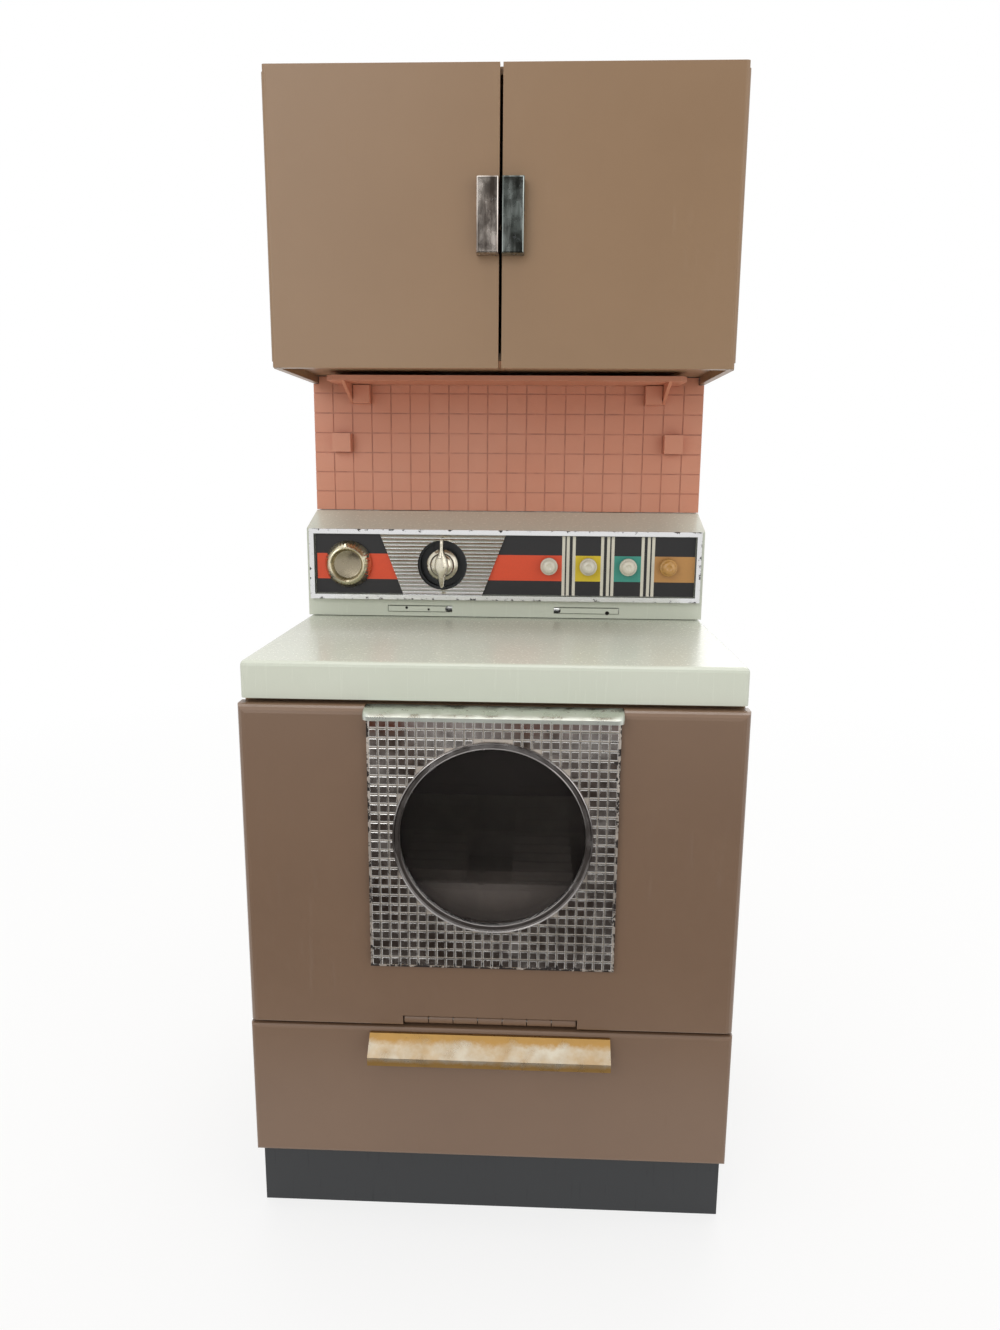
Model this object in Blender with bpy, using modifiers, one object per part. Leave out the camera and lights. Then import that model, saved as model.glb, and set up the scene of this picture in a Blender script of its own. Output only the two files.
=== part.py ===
"""Toy kitchen dishwasher with a drawer, a control console and an upper cabinet.

Metres, +Z up, at the toy's real size. The front faces -Y. The origin lies on the floor,
under the middle of the object's bounding box.
"""
from math import cos, pi, radians, sin

import bmesh
import bpy
from mathutils import Matrix, Vector

# Overall sizes
BODY_WIDTH = 0.155
CARCASS_INSET = 0.0005
CARCASS_WIDTH = BODY_WIDTH - 2 * CARCASS_INSET
BODY_DEPTH = 0.124
HANDLE_REACH = 0.007
TOE_HEIGHT = 0.0232
DRAWER_HEIGHT = 0.0465
DOOR_HEIGHT = 0.1052
COUNTER_HEIGHT = 0.0116
CONSOLE_HEIGHT = 0.0401
SPLASH_HEIGHT = 0.0492
UPPER_DOOR_HEIGHT = 0.0925

# Gaps and clearances
FIT = 0.0003
FRONT_GAP = 0.0011
DOOR_BACK_GAP = 0.001
CARCASS_RISE = 0.001
CUT_OVERRUN = 0.001
SCREW_CLEARANCE = 0.0003
PIN_CLEARANCE = 0.0002

# How far the lower parts stand behind the main door's face, and how deep the upper parts are
TOE_SETBACK = 0.0068
COUNTER_SETBACK = 0.0034
CONSOLE_DEPTH = 0.0285
SPLASH_DEPTH = 0.0094
UPPER_DEPTH = 0.0694

# Wall thicknesses and the fineness of round work
CARCASS_WALL = 0.0025
CABINET_WALL = 0.0024
CABINET_FLOOR_RISE = 0.0028
SHELL_WALL = 0.0022
LINER_WALL = 0.0018
PANEL_THICKNESS = 0.002
EDGE_ROUNDING = 0.0006
EDGE_SEGMENTS = 2
ROUND_SEGMENTS = 32
LARGE_ROUND_SEGMENTS = 64
SMALL_ROUND_SEGMENTS = 16
ROUND_PROFILE_SHARE = 0.5
ALONG_SHARE = 0.5
SMOOTH_ANGLE = radians(35)
MERGE_DISTANCE = 0.00001

# Planes across the depth
FRONT_Y = (HANDLE_REACH - BODY_DEPTH) / 2
BACK_Y = FRONT_Y + BODY_DEPTH
DOOR_DEPTH = 0.007
CARCASS_FRONT_Y = FRONT_Y + DOOR_DEPTH + DOOR_BACK_GAP
CONSOLE_FRONT_Y = BACK_Y - CONSOLE_DEPTH
SPLASH_Y = BACK_Y - SPLASH_DEPTH
UPPER_FRONT_Y = BACK_Y - UPPER_DEPTH

# Planes up the height
DRAWER_BOTTOM_Z = TOE_HEIGHT + FRONT_GAP
DRAWER_TOP_Z = DRAWER_BOTTOM_Z + DRAWER_HEIGHT
DOOR_BOTTOM_Z = DRAWER_TOP_Z + FRONT_GAP
DOOR_TOP_Z = DOOR_BOTTOM_Z + DOOR_HEIGHT
CARCASS_BOTTOM_Z = TOE_HEIGHT + FIT
CARCASS_TOP_Z = DOOR_TOP_Z + CARCASS_RISE
COUNTER_BOTTOM_Z = CARCASS_TOP_Z + FIT
COUNTER_TOP_Z = COUNTER_BOTTOM_Z + COUNTER_HEIGHT
CONSOLE_BOTTOM_Z = COUNTER_TOP_Z + FIT
CONSOLE_TOP_Z = CONSOLE_BOTTOM_Z + CONSOLE_HEIGHT
SPLASH_BOTTOM_Z = CONSOLE_TOP_Z + FIT
SPLASH_TOP_Z = SPLASH_BOTTOM_Z + SPLASH_HEIGHT
CABINET_BOTTOM_Z = SPLASH_TOP_Z + FIT
CABINET_FLOOR_Z = CABINET_BOTTOM_Z + CABINET_FLOOR_RISE
CABINET_TOP_Z = CABINET_BOTTOM_Z + UPPER_DOOR_HEIGHT

# Half widths used by many pieces
HALF_BODY = BODY_WIDTH / 2
HALF_CARCASS = CARCASS_WIDTH / 2
HALF_BAY = HALF_CARCASS - CARCASS_WALL

SIDES = (("left", -1), ("right", 1))


# Scene set-up
for old in list(bpy.data.objects):
    bpy.data.objects.remove(old)
PARTS = bpy.data.collections.new("toy_dishwasher")
CUTTERS = bpy.data.collections.new("cutters")
bpy.context.scene.collection.children.link(PARTS)
bpy.context.scene.collection.children.link(CUTTERS)


def material(name, colour, roughness, metallic=0, transmission=0):
    """A Principled BSDF of one linear colour."""
    made = bpy.data.materials.new(name)
    made.use_nodes = True
    shader = made.node_tree.nodes["Principled BSDF"]
    shader.inputs["Base Color"].default_value = (*colour, 1)
    shader.inputs["Roughness"].default_value = roughness
    shader.inputs["Metallic"].default_value = metallic
    shader.inputs["Transmission Weight"].default_value = transmission
    return made


TAUPE = material("taupe_styrene", (0.235, 0.152, 0.098), 0.45)
MINT = material("mint_styrene", (0.61, 0.66, 0.5), 0.3)
PINK = material("pink_styrene", (0.51, 0.22, 0.14), 0.45)
BLACK = material("black_styrene", (0.016, 0.017, 0.019), 0.5)
BROWN = material("dark_brown_styrene", (0.045, 0.034, 0.028), 0.5)
CHROME = material("vacuum_plated_chrome", (0.8, 0.8, 0.78), 0.12, metallic=1)
GOLD = material("vacuum_plated_gold", (0.62, 0.4, 0.14), 0.22, metallic=1)
STEEL = material("plated_steel", (0.56, 0.56, 0.55), 0.35, metallic=1)
CARD = material("printed_card", (0.02, 0.018, 0.018), 0.55)
CLEAR = material("clear_styrene", (0.9, 0.9, 0.88), 0.08, transmission=1)
WHITE = material("pearl_white_styrene", (0.82, 0.8, 0.74), 0.25)
AMBER = material("amber_styrene", (0.57, 0.32, 0.1), 0.3)


# Helpers that make and shape solids
def place(name, mesh, finish, group=PARTS):
    """Link a mesh as a named object; a cutter is a wire that the build leaves out."""
    mesh.name = name
    piece = bpy.data.objects.new(name, mesh)
    group.objects.link(piece)
    if group is CUTTERS:
        piece.hide_render = True
        piece.display_type = "WIRE"
    else:
        mesh.materials.append(finish)
    return piece


def from_bmesh(name, bm, finish, group=PARTS):
    """Turn a bmesh into an object, with round faces shaded smooth."""
    bmesh.ops.recalc_face_normals(bm, faces=bm.faces)
    mesh = bpy.data.meshes.new(name)
    bm.to_mesh(mesh)
    bm.free()
    mesh.shade_smooth()
    mesh.set_sharp_from_angle(angle=SMOOTH_ANGLE)
    return place(name, mesh, finish, group)


def boxes(name, ranges, finish=None, group=PARTS):
    """One mesh of separate boxes, each given by its x, y and z ranges."""
    bm = bmesh.new()
    for spans in ranges:
        size = [high - low for low, high in spans]
        middle = [(high + low) / 2 for low, high in spans]
        fit = Matrix.Translation(middle) @ Matrix.Diagonal((*size, 1))
        bmesh.ops.create_cube(bm, size=1, matrix=fit)
    return from_bmesh(name, bm, finish, group)


def box(name, x, y, z, finish=None, group=PARTS):
    """A single box."""
    return boxes(name, [(x, y, z)], finish, group)


def turn_to(axis):
    """The rotation that takes +Z to the named axis."""
    return {
        "x": Matrix.Rotation(pi / 2, 4, "Y"),
        "y": Matrix.Rotation(-pi / 2, 4, "X"),
        "z": Matrix.Identity(4),
    }[axis]


def rods(name, places, axis, radius, length, finish=None, group=PARTS, segments=ROUND_SEGMENTS):
    """One mesh of equal cylinders along an axis, each centred on its place."""
    bm = bmesh.new()
    for middle in places:
        bmesh.ops.create_cone(
            bm,
            cap_ends=True,
            segments=segments,
            radius1=radius,
            radius2=radius,
            depth=length,
            matrix=Matrix.Translation(middle) @ turn_to(axis),
        )
    return from_bmesh(name, bm, finish, group)


def prism(name, outline, plane, low, high, finish=None, group=PARTS):
    """An outline in the "xy", "xz" or "yz" plane, drawn out from low to high."""
    along = "xyz".index(next(letter for letter in "xyz" if letter not in plane))
    first, second = ("xyz".index(letter) for letter in plane)
    bm = bmesh.new()
    corners = []
    for point in outline:
        spot = [low] * 3
        spot[first], spot[second] = point
        corners.append(bm.verts.new(spot))
    face = bm.faces.new(corners)
    drawn = bmesh.ops.extrude_face_region(bm, geom=[face])
    reach = Vector((0, 0, 0))
    reach[along] = high - low
    moved = [item for item in drawn["geom"] if isinstance(item, bmesh.types.BMVert)]
    bmesh.ops.translate(bm, verts=moved, vec=reach)
    return from_bmesh(name, bm, finish, group)


def turned(name, profile, spot, finish, closed=False, segments=ROUND_SEGMENTS):
    """A profile of (radius, height) turned about the line through spot that faces the front.

    Heights count towards the viewer, and an open profile starts and ends on the axis.
    """
    mesh = bpy.data.meshes.new(name)
    edges = [(n, n + 1) for n in range(len(profile) - 1)]
    if closed:
        edges.append((len(profile) - 1, 0))
    mesh.from_pydata([(radius, 0, height) for radius, height in profile], edges, [])
    piece = place(name, mesh, finish)
    piece.location = spot
    piece.rotation_euler = (pi / 2, 0, 0)
    screw = piece.modifiers.new("turn", "SCREW")
    screw.steps = segments
    screw.render_steps = segments
    screw.use_merge_vertices = True
    screw.merge_threshold = MERGE_DISTANCE
    return piece


def boolean(piece, tool, operation):
    """Join or cut a piece with a tool that lies in the cutters collection."""
    modifier = piece.modifiers.new(tool.name, "BOOLEAN")
    modifier.operation = operation
    modifier.object = tool
    return piece


def cut(piece, tool):
    return boolean(piece, tool, "DIFFERENCE")


def join(piece, tool):
    return boolean(piece, tool, "UNION")


def round_edges(piece, radius, choose, segments=EDGE_SEGMENTS):
    """Round the edges for which choose(middle, direction) is true.

    An edge runs along an axis where that part of its unit direction passes ALONG_SHARE.
    """
    bm = bmesh.new()
    bm.from_mesh(piece.data)
    chosen = []
    for edge in bm.edges:
        start, end = (vert.co for vert in edge.verts)
        if choose((start + end) / 2, (end - start).normalized()):
            chosen.append(edge)
    bmesh.ops.bevel(
        bm,
        geom=chosen,
        offset=radius,
        segments=segments,
        profile=ROUND_PROFILE_SHARE,
        affect="EDGES",
        clamp_overlap=True,
    )
    bm.to_mesh(piece.data)
    bm.free()
    piece.data.shade_smooth()
    piece.data.set_sharp_from_angle(angle=SMOOTH_ANGLE)
    return piece


def round_all(piece, radius=EDGE_ROUNDING):
    return round_edges(piece, radius, lambda middle, direction: True)


def pivot(piece, point):
    """Put a piece's origin on its joint axis without moving its shape."""
    piece.data.transform(Matrix.Translation(-Vector(point)))
    piece.location = point
    return piece


def sided(sign, inner, outer):
    """The x range between two distances from the middle, on the left or the right."""
    return (sign * inner, sign * outer) if sign > 0 else (sign * outer, sign * inner)


def about(middle, half):
    return (middle - half, middle + half)


# Toe kick: a black plinth, open underneath
TOE_WALL = 0.0025
TOE_TOP = 0.002
HALF_TOE = HALF_CARCASS


def make_toe_kick():
    front = FRONT_Y + TOE_SETBACK
    toe = box("toe_kick", about(0, HALF_TOE), (front, BACK_Y), (0, TOE_HEIGHT), BLACK)
    hollow = box(
        "toe_hollow",
        about(0, HALF_TOE - TOE_WALL),
        (front + TOE_WALL, BACK_Y - TOE_WALL),
        (-CUT_OVERRUN, TOE_HEIGHT - TOE_TOP),
        group=CUTTERS,
    )
    cut(toe, hollow)


# Base cabinet: one shell with a drawer bay under a dish bay, open at front and back
DIVIDER_THICKNESS = 0.003
DIVIDER_DROP = 0.00025
DIVIDER_TOP_Z = DOOR_BOTTOM_Z - DIVIDER_DROP
BOSS_SIZE = 0.006
BOSS_LENGTH = 0.009
BACK_INSET = 0.0017
BACK_PANEL_Y = (BACK_Y - BACK_INSET - PANEL_THICKNESS, BACK_Y - BACK_INSET)
BOSS_BACK_Y = BACK_PANEL_Y[0] - FIT
BOSS_FRONT_Y = BOSS_BACK_Y - BOSS_LENGTH
BAY_BOTTOM_Z = CARCASS_BOTTOM_Z + CARCASS_WALL
BAY_TOP_Z = CARCASS_TOP_Z - CARCASS_WALL
SCREW_X = HALF_BAY - BOSS_SIZE / 2
SCREW_LOW_Z = BAY_BOTTOM_Z + BOSS_SIZE / 2
SCREW_HIGH_Z = BAY_TOP_Z - BOSS_SIZE / 2
SCREW_RADIUS = 0.001
SCREW_LENGTH = 0.007
SCREW_HEAD_RADIUS = 0.0021
SCREW_HEAD = 0.0012


def screw_places(y):
    return [(sign * SCREW_X, y, z) for z in (SCREW_LOW_Z, SCREW_HIGH_Z) for _, sign in SIDES]


def make_base_cabinet():
    cabinet = box(
        "base_cabinet",
        about(0, HALF_CARCASS),
        (CARCASS_FRONT_Y, BACK_Y),
        (CARCASS_BOTTOM_Z, CARCASS_TOP_Z),
        TAUPE,
    )
    round_edges(cabinet, EDGE_ROUNDING, lambda middle, direction: abs(direction.z) > ALONG_SHARE)
    through = (CARCASS_FRONT_Y - CUT_OVERRUN, BACK_Y + CUT_OVERRUN)
    bays = boxes(
        "base_bays",
        [
            (about(0, HALF_BAY), through, (BAY_BOTTOM_Z, DIVIDER_TOP_Z - DIVIDER_THICKNESS)),
            (about(0, HALF_BAY), through, (DIVIDER_TOP_Z, BAY_TOP_Z)),
        ],
        group=CUTTERS,
    )
    cut(cabinet, bays)
    back_recess = box(
        "base_back_recess",
        about(0, HALF_BAY),
        (BOSS_BACK_Y, BACK_Y + CUT_OVERRUN),
        (BAY_BOTTOM_Z, BAY_TOP_Z),
        group=CUTTERS,
    )
    cut(cabinet, back_recess)
    root = HALF_BAY + CARCASS_WALL / 2
    bosses = []
    low = (BAY_BOTTOM_Z - CARCASS_WALL / 2, BAY_BOTTOM_Z + BOSS_SIZE)
    high = (BAY_TOP_Z - BOSS_SIZE, BAY_TOP_Z + CARCASS_WALL / 2)
    for _, sign in SIDES:
        side = sided(sign, HALF_BAY - BOSS_SIZE, root)
        for z in (low, high):
            bosses.append((side, (BOSS_FRONT_Y, BOSS_BACK_Y), z))
    join(cabinet, boxes("base_bosses", bosses, group=CUTTERS))
    pilots = rods(
        "base_pilots",
        screw_places(BOSS_BACK_Y),
        "y",
        SCREW_RADIUS + SCREW_CLEARANCE,
        2 * (BOSS_LENGTH + CUT_OVERRUN),
        group=CUTTERS,
        segments=SMALL_ROUND_SEGMENTS,
    )
    cut(cabinet, pilots)


def make_back_panel():
    panel = box(
        "base_back_panel",
        about(0, HALF_BAY - FIT),
        BACK_PANEL_Y,
        (BAY_BOTTOM_Z + FIT, BAY_TOP_Z - FIT),
        TAUPE,
    )
    holes = rods(
        "back_panel_holes",
        screw_places(sum(BACK_PANEL_Y) / 2),
        "y",
        SCREW_RADIUS + SCREW_CLEARANCE,
        PANEL_THICKNESS + 2 * CUT_OVERRUN,
        group=CUTTERS,
        segments=SMALL_ROUND_SEGMENTS,
    )
    cut(panel, holes)
    head = BACK_PANEL_Y[1] + FIT
    for number, spot in enumerate(screw_places(head), start=1):
        profile = [
            (0, SCREW_LENGTH),
            (SCREW_RADIUS, SCREW_LENGTH),
            (SCREW_RADIUS, 0),
            (SCREW_HEAD_RADIUS, 0),
            (SCREW_HEAD_RADIUS, -SCREW_HEAD / 2),
            (SCREW_RADIUS, -SCREW_HEAD),
            (0, -SCREW_HEAD),
        ]
        turned(f"back_screw_{number}", profile, spot, STEEL, segments=SMALL_ROUND_SEGMENTS)


# Main door hinge: a strip of knuckles in a notch at the foot of the door
HINGE_LENGTH = 0.0552
KNUCKLES = 7
KNUCKLE_RADIUS = 0.00145
KNUCKLE_PITCH = HINGE_LENGTH / KNUCKLES
LEAF_THICKNESS = 0.0005
LEAF_HEIGHT = 0.009
LEAF_DEPTH = 0.0055
HINGE_PIN_RADIUS = 0.0005
HINGE_Y = FRONT_Y + FIT + KNUCKLE_RADIUS
HINGE_Z = DIVIDER_TOP_Z + FIT + KNUCKLE_RADIUS
HINGE_POINT = (0, HINGE_Y, HINGE_Z)
LEAF_BOTTOM_Z = HINGE_Z - KNUCKLE_RADIUS
NOTCH_TOP_Z = HINGE_Z + KNUCKLE_RADIUS + FIT
DOOR_LEAF_Y = (FRONT_Y + SHELL_WALL + FIT, FRONT_Y + SHELL_WALL + FIT + LEAF_THICKNESS)


def knuckle_range(number):
    """The x range of one knuckle, with a running gap at each end."""
    start = number * KNUCKLE_PITCH - HINGE_LENGTH / 2
    return (start + FIT / 2, start + KNUCKLE_PITCH - FIT / 2)


def make_leaf(name, numbers, plate, tab_y, tab_z, finish):
    """A hinge leaf: a plate, with a barrel and a tab at each of its knuckles."""
    leaf = box(name, *plate, finish)
    middles = [(sum(knuckle_range(number)) / 2, HINGE_Y, HINGE_Z) for number in numbers]
    length = KNUCKLE_PITCH - FIT
    tabs = [(knuckle_range(number), tab_y, tab_z) for number in numbers]
    join(leaf, boxes(name + "_tabs", tabs, group=CUTTERS))
    barrels = rods(
        name + "_barrels",
        middles,
        "x",
        KNUCKLE_RADIUS,
        length,
        group=CUTTERS,
        segments=SMALL_ROUND_SEGMENTS,
    )
    join(leaf, barrels)
    bore = rods(
        name + "_bore",
        [HINGE_POINT],
        "x",
        HINGE_PIN_RADIUS + PIN_CLEARANCE,
        HINGE_LENGTH + 2 * CUT_OVERRUN,
        group=CUTTERS,
        segments=SMALL_ROUND_SEGMENTS,
    )
    return cut(leaf, bore)


def make_hinge():
    reach = HINGE_LENGTH / 2 - FIT / 2
    overlap = LEAF_THICKNESS
    lower_plate = (
        about(0, reach),
        (HINGE_Y + KNUCKLE_RADIUS + 2 * FIT, CARCASS_FRONT_Y + LEAF_DEPTH),
        (LEAF_BOTTOM_Z, LEAF_BOTTOM_Z + LEAF_THICKNESS),
    )
    lower_tabs = (HINGE_Y, HINGE_Y + KNUCKLE_RADIUS + 2 * FIT + overlap)
    make_leaf(
        "hinge_leaf_lower",
        range(1, KNUCKLES, 2),
        lower_plate,
        lower_tabs,
        (LEAF_BOTTOM_Z, LEAF_BOTTOM_Z + LEAF_THICKNESS),
        TAUPE,
    )
    upper_plate = (about(0, reach), DOOR_LEAF_Y, (NOTCH_TOP_Z, NOTCH_TOP_Z + LEAF_HEIGHT))
    upper = make_leaf(
        "hinge_leaf_upper",
        range(0, KNUCKLES, 2),
        upper_plate,
        DOOR_LEAF_Y,
        (HINGE_Z, NOTCH_TOP_Z + overlap),
        TAUPE,
    )
    pivot(upper, HINGE_POINT)
    rods(
        "hinge_pin",
        [HINGE_POINT],
        "x",
        HINGE_PIN_RADIUS,
        HINGE_LENGTH - FIT,
        STEEL,
        segments=SMALL_ROUND_SEGMENTS,
    )


# Window: a chrome plate with a ring and a pull ledge, and a clear round pane
WINDOW_X = 0.0006
WINDOW_HEIGHT_SHARE = 0.6169
WINDOW_Z = DOOR_BOTTOM_Z + DOOR_HEIGHT * WINDOW_HEIGHT_SHARE
PLATE_WIDTH = 0.0764
PLATE_DROP = 0.0435
PLATE_BOTTOM_Z = WINDOW_Z - PLATE_DROP
PLATE_THICKNESS = 0.0015
RING_RADIUS = 0.03075
RING_WIDTH = 0.0025
RING_REACH = 0.0015
SLEEVE_RADIUS = 0.0302
SLEEVE_DEPTH = 0.0018
PANE_LIP = 0.0008
PANE_RADIUS = 0.029
PANE_THICKNESS = 0.0012
LEDGE_WIDTH = 0.0776
LEDGE_DEPTH = 0.004
LEDGE_DROP = 0.0026
LEDGE_STEPS = 5
LEDGE_THICKNESS = 0.0018
LEDGE_CORNER = 0.0025
CORNER_STEPS = 4
RING_BORE = RING_RADIUS - RING_WIDTH
PLATE_BACK_Y = FRONT_Y - FIT
PLATE_FRONT_Y = PLATE_BACK_Y - PLATE_THICKNESS
LEDGE_BOTTOM_Z = DOOR_TOP_Z - LEDGE_THICKNESS
DOOR_HOLE_RADIUS = SLEEVE_RADIUS + FIT
WINDOW_MIDDLE = (WINDOW_X, PLATE_BACK_Y, WINDOW_Z)


def round_in_y(name, radius, front, back, finish=None, group=CUTTERS):
    """A large cylinder on the window's axis, from one depth to another."""
    spot = (WINDOW_X, (front + back) / 2, WINDOW_Z)
    return rods(name, [spot], "y", radius, back - front, finish, group, LARGE_ROUND_SEGMENTS)


def make_ledge():
    """The pull ledge: a strip that curves down to its front, with round front corners."""
    curve = []
    for step in range(LEDGE_STEPS + 1):
        share = step / LEDGE_STEPS
        curve.append((FRONT_Y - HANDLE_REACH * share, DOOR_TOP_Z - LEDGE_DROP * share**2))
    under = [(y, z - LEDGE_THICKNESS) for y, z in reversed(curve)]
    back = FRONT_Y + LEDGE_DEPTH
    outline = [(back, DOOR_TOP_Z), *curve, *under, (back, DOOR_TOP_Z - LEDGE_THICKNESS)]
    half = LEDGE_WIDTH / 2
    ledge = prism("window_ledge", outline, "yz", WINDOW_X - half, WINDOW_X + half, group=CUTTERS)
    plan = [(WINDOW_X + half, back + CUT_OVERRUN), (WINDOW_X - half, back + CUT_OVERRUN)]
    for sign in (-1, 1):
        for step in range(CORNER_STEPS + 1):
            angle = pi / 2 * step / CORNER_STEPS
            turn = angle if sign < 0 else pi / 2 - angle
            x = half - LEDGE_CORNER * (1 - cos(turn))
            y = LEDGE_CORNER * (1 - sin(turn))
            plan.append((WINDOW_X + sign * x, FRONT_Y - HANDLE_REACH + y))
    low = DOOR_TOP_Z - LEDGE_DROP - LEDGE_THICKNESS - CUT_OVERRUN
    shape = prism("window_ledge_plan", plan, "xy", low, DOOR_TOP_Z + CUT_OVERRUN, group=CUTTERS)
    return boolean(ledge, shape, "INTERSECT")


def make_window():
    frame = box(
        "window_frame",
        about(WINDOW_X, PLATE_WIDTH / 2),
        (PLATE_FRONT_Y, PLATE_BACK_Y),
        (PLATE_BOTTOM_Z, DOOR_TOP_Z - LEDGE_THICKNESS / 2),
        CHROME,
    )
    join(frame, make_ledge())
    back = PLATE_BACK_Y + SLEEVE_DEPTH
    join(frame, round_in_y("window_ring", RING_RADIUS, PLATE_FRONT_Y - RING_REACH, PLATE_BACK_Y - FIT))
    join(frame, round_in_y("window_sleeve", SLEEVE_RADIUS, PLATE_FRONT_Y - FIT, back))
    bore_front = PLATE_FRONT_Y - RING_REACH - CUT_OVERRUN
    cut(frame, round_in_y("window_bore", RING_BORE, bore_front, back + CUT_OVERRUN))
    seat = PLATE_FRONT_Y + PANE_LIP
    cut(frame, round_in_y("window_seat", PANE_RADIUS + FIT, seat, back + CUT_OVERRUN))
    pivot(frame, HINGE_POINT)
    pane_front = seat + FIT
    pane = round_in_y("window_pane", PANE_RADIUS, pane_front, pane_front + PANE_THICKNESS, CLEAR, PARTS)
    pivot(pane, HINGE_POINT)


# Main door: a moulded shell with a flat liner in its back
DOOR_ROUNDING = 0.0025
DOOR_FOOT_ROUNDING = 0.0008
LINER_INSET = 0.0002
LINER_THICKNESS = 0.0015
LINER_HOLE = 0.0315
LINER_Y = (FRONT_Y + DOOR_DEPTH - LINER_INSET - LINER_THICKNESS, FRONT_Y + DOOR_DEPTH - LINER_INSET)
HALF_DOOR_HOLLOW = HALF_BODY - SHELL_WALL
RIB_THICKNESS = 0.0015


def make_main_door():
    door = box(
        "main_door",
        about(0, HALF_BODY),
        (FRONT_Y, FRONT_Y + DOOR_DEPTH),
        (DOOR_BOTTOM_Z, DOOR_TOP_Z),
        TAUPE,
    )

    def outer_front(middle, direction):
        on_front = middle.y < FRONT_Y + DOOR_ROUNDING / 2 and abs(direction.y) < ALONG_SHARE
        return on_front and middle.z > DOOR_BOTTOM_Z + DOOR_ROUNDING / 2

    def lower_front(middle, direction):
        at_foot = middle.z < DOOR_BOTTOM_Z + DOOR_FOOT_ROUNDING / 2
        at_front = middle.y < FRONT_Y + DOOR_FOOT_ROUNDING / 2
        return at_foot and at_front and abs(direction.x) > ALONG_SHARE

    round_edges(door, DOOR_ROUNDING, outer_front, segments=4)
    round_edges(door, DOOR_FOOT_ROUNDING, lower_front)
    beyond = FRONT_Y + DOOR_DEPTH + CUT_OVERRUN
    low = DOOR_BOTTOM_Z + SHELL_WALL
    high = DOOR_TOP_Z - SHELL_WALL
    hollow = box(
        "door_hollow",
        about(0, HALF_DOOR_HOLLOW),
        (FRONT_Y + SHELL_WALL, beyond),
        (low, high),
        group=CUTTERS,
    )
    cut(door, hollow)
    liner_ledge = (FRONT_Y + SHELL_WALL / 2, LINER_Y[0] - FIT)
    ribs = []
    for _, sign in SIDES:
        side = sided(sign, HALF_DOOR_HOLLOW - RIB_THICKNESS, HALF_DOOR_HOLLOW + SHELL_WALL / 2)
        ribs.append((side, liner_ledge, (low + DOOR_DEPTH, high - DOOR_DEPTH)))
    join(door, boxes("door_ribs", ribs, group=CUTTERS))
    cut(door, round_in_y("door_hole", DOOR_HOLE_RADIUS, FRONT_Y - CUT_OVERRUN, beyond))
    notches = boxes(
        "door_notches",
        [
            (
                about(0, HINGE_LENGTH / 2 + FIT),
                (FRONT_Y - CUT_OVERRUN, beyond),
                (DOOR_BOTTOM_Z - CUT_OVERRUN, NOTCH_TOP_Z),
            ),
            (
                about(WINDOW_X, LEDGE_WIDTH / 2 + FIT),
                (FRONT_Y - CUT_OVERRUN, FRONT_Y + LEDGE_DEPTH + FIT),
                (LEDGE_BOTTOM_Z - FIT, DOOR_TOP_Z + CUT_OVERRUN),
            ),
        ],
        group=CUTTERS,
    )
    cut(door, notches)
    pivot(door, HINGE_POINT)
    liner = box(
        "door_liner",
        about(0, HALF_DOOR_HOLLOW - FIT),
        LINER_Y,
        (low + FIT, high - FIT),
        BROWN,
    )
    cut(liner, round_in_y("liner_hole", LINER_HOLE, LINER_Y[0] - CUT_OVERRUN, LINER_Y[1] + CUT_OVERRUN))
    pivot(liner, HINGE_POINT)


# Tub: an open-fronted liner in the dish bay, with a runner on each side wall
HALF_TUB = HALF_BAY - FIT
TUB_FRONT_Y = CARCASS_FRONT_Y + FIT
TUB_BACK_GAP = 0.014
TUB_BOTTOM_Z = DIVIDER_TOP_Z + FIT
TUB_TOP_Z = BAY_TOP_Z - FIT
TUB_BACK_Y = BACK_PANEL_Y[0] - TUB_BACK_GAP
RUNNER_WIDTH = 0.004
RUNNER_HEIGHT = 0.002
RUNNER_RISE = 0.0161
RUNNER_TOP_Z = DOOR_BOTTOM_Z + RUNNER_RISE
RUNNER_FRONT_GAP = 0.005


def make_tub():
    tub = box(
        "tub_liner",
        about(0, HALF_TUB),
        (TUB_FRONT_Y, TUB_BACK_Y),
        (TUB_BOTTOM_Z, TUB_TOP_Z),
        BROWN,
    )
    hollow = box(
        "tub_hollow",
        about(0, HALF_TUB - LINER_WALL),
        (TUB_FRONT_Y - CUT_OVERRUN, TUB_BACK_Y - LINER_WALL),
        (TUB_BOTTOM_Z + LINER_WALL, TUB_TOP_Z - LINER_WALL),
        group=CUTTERS,
    )
    cut(tub, hollow)
    leaf_pocket = box(
        "tub_leaf_pocket",
        about(0, HINGE_LENGTH / 2 + FIT),
        (TUB_FRONT_Y - CUT_OVERRUN, CARCASS_FRONT_Y + LEAF_DEPTH + FIT),
        (TUB_BOTTOM_Z - CUT_OVERRUN, LEAF_BOTTOM_Z + LEAF_THICKNESS + FIT),
        group=CUTTERS,
    )
    cut(tub, leaf_pocket)
    wall = HALF_TUB - LINER_WALL - FIT
    for side, sign in SIDES:
        box(
            f"rack_runner_{side}",
            sided(sign, wall - RUNNER_WIDTH, wall),
            (TUB_FRONT_Y + RUNNER_FRONT_GAP, TUB_BACK_Y - LINER_WALL - FIT),
            (RUNNER_TOP_Z - RUNNER_HEIGHT, RUNNER_TOP_Z),
            BROWN,
        )


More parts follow.
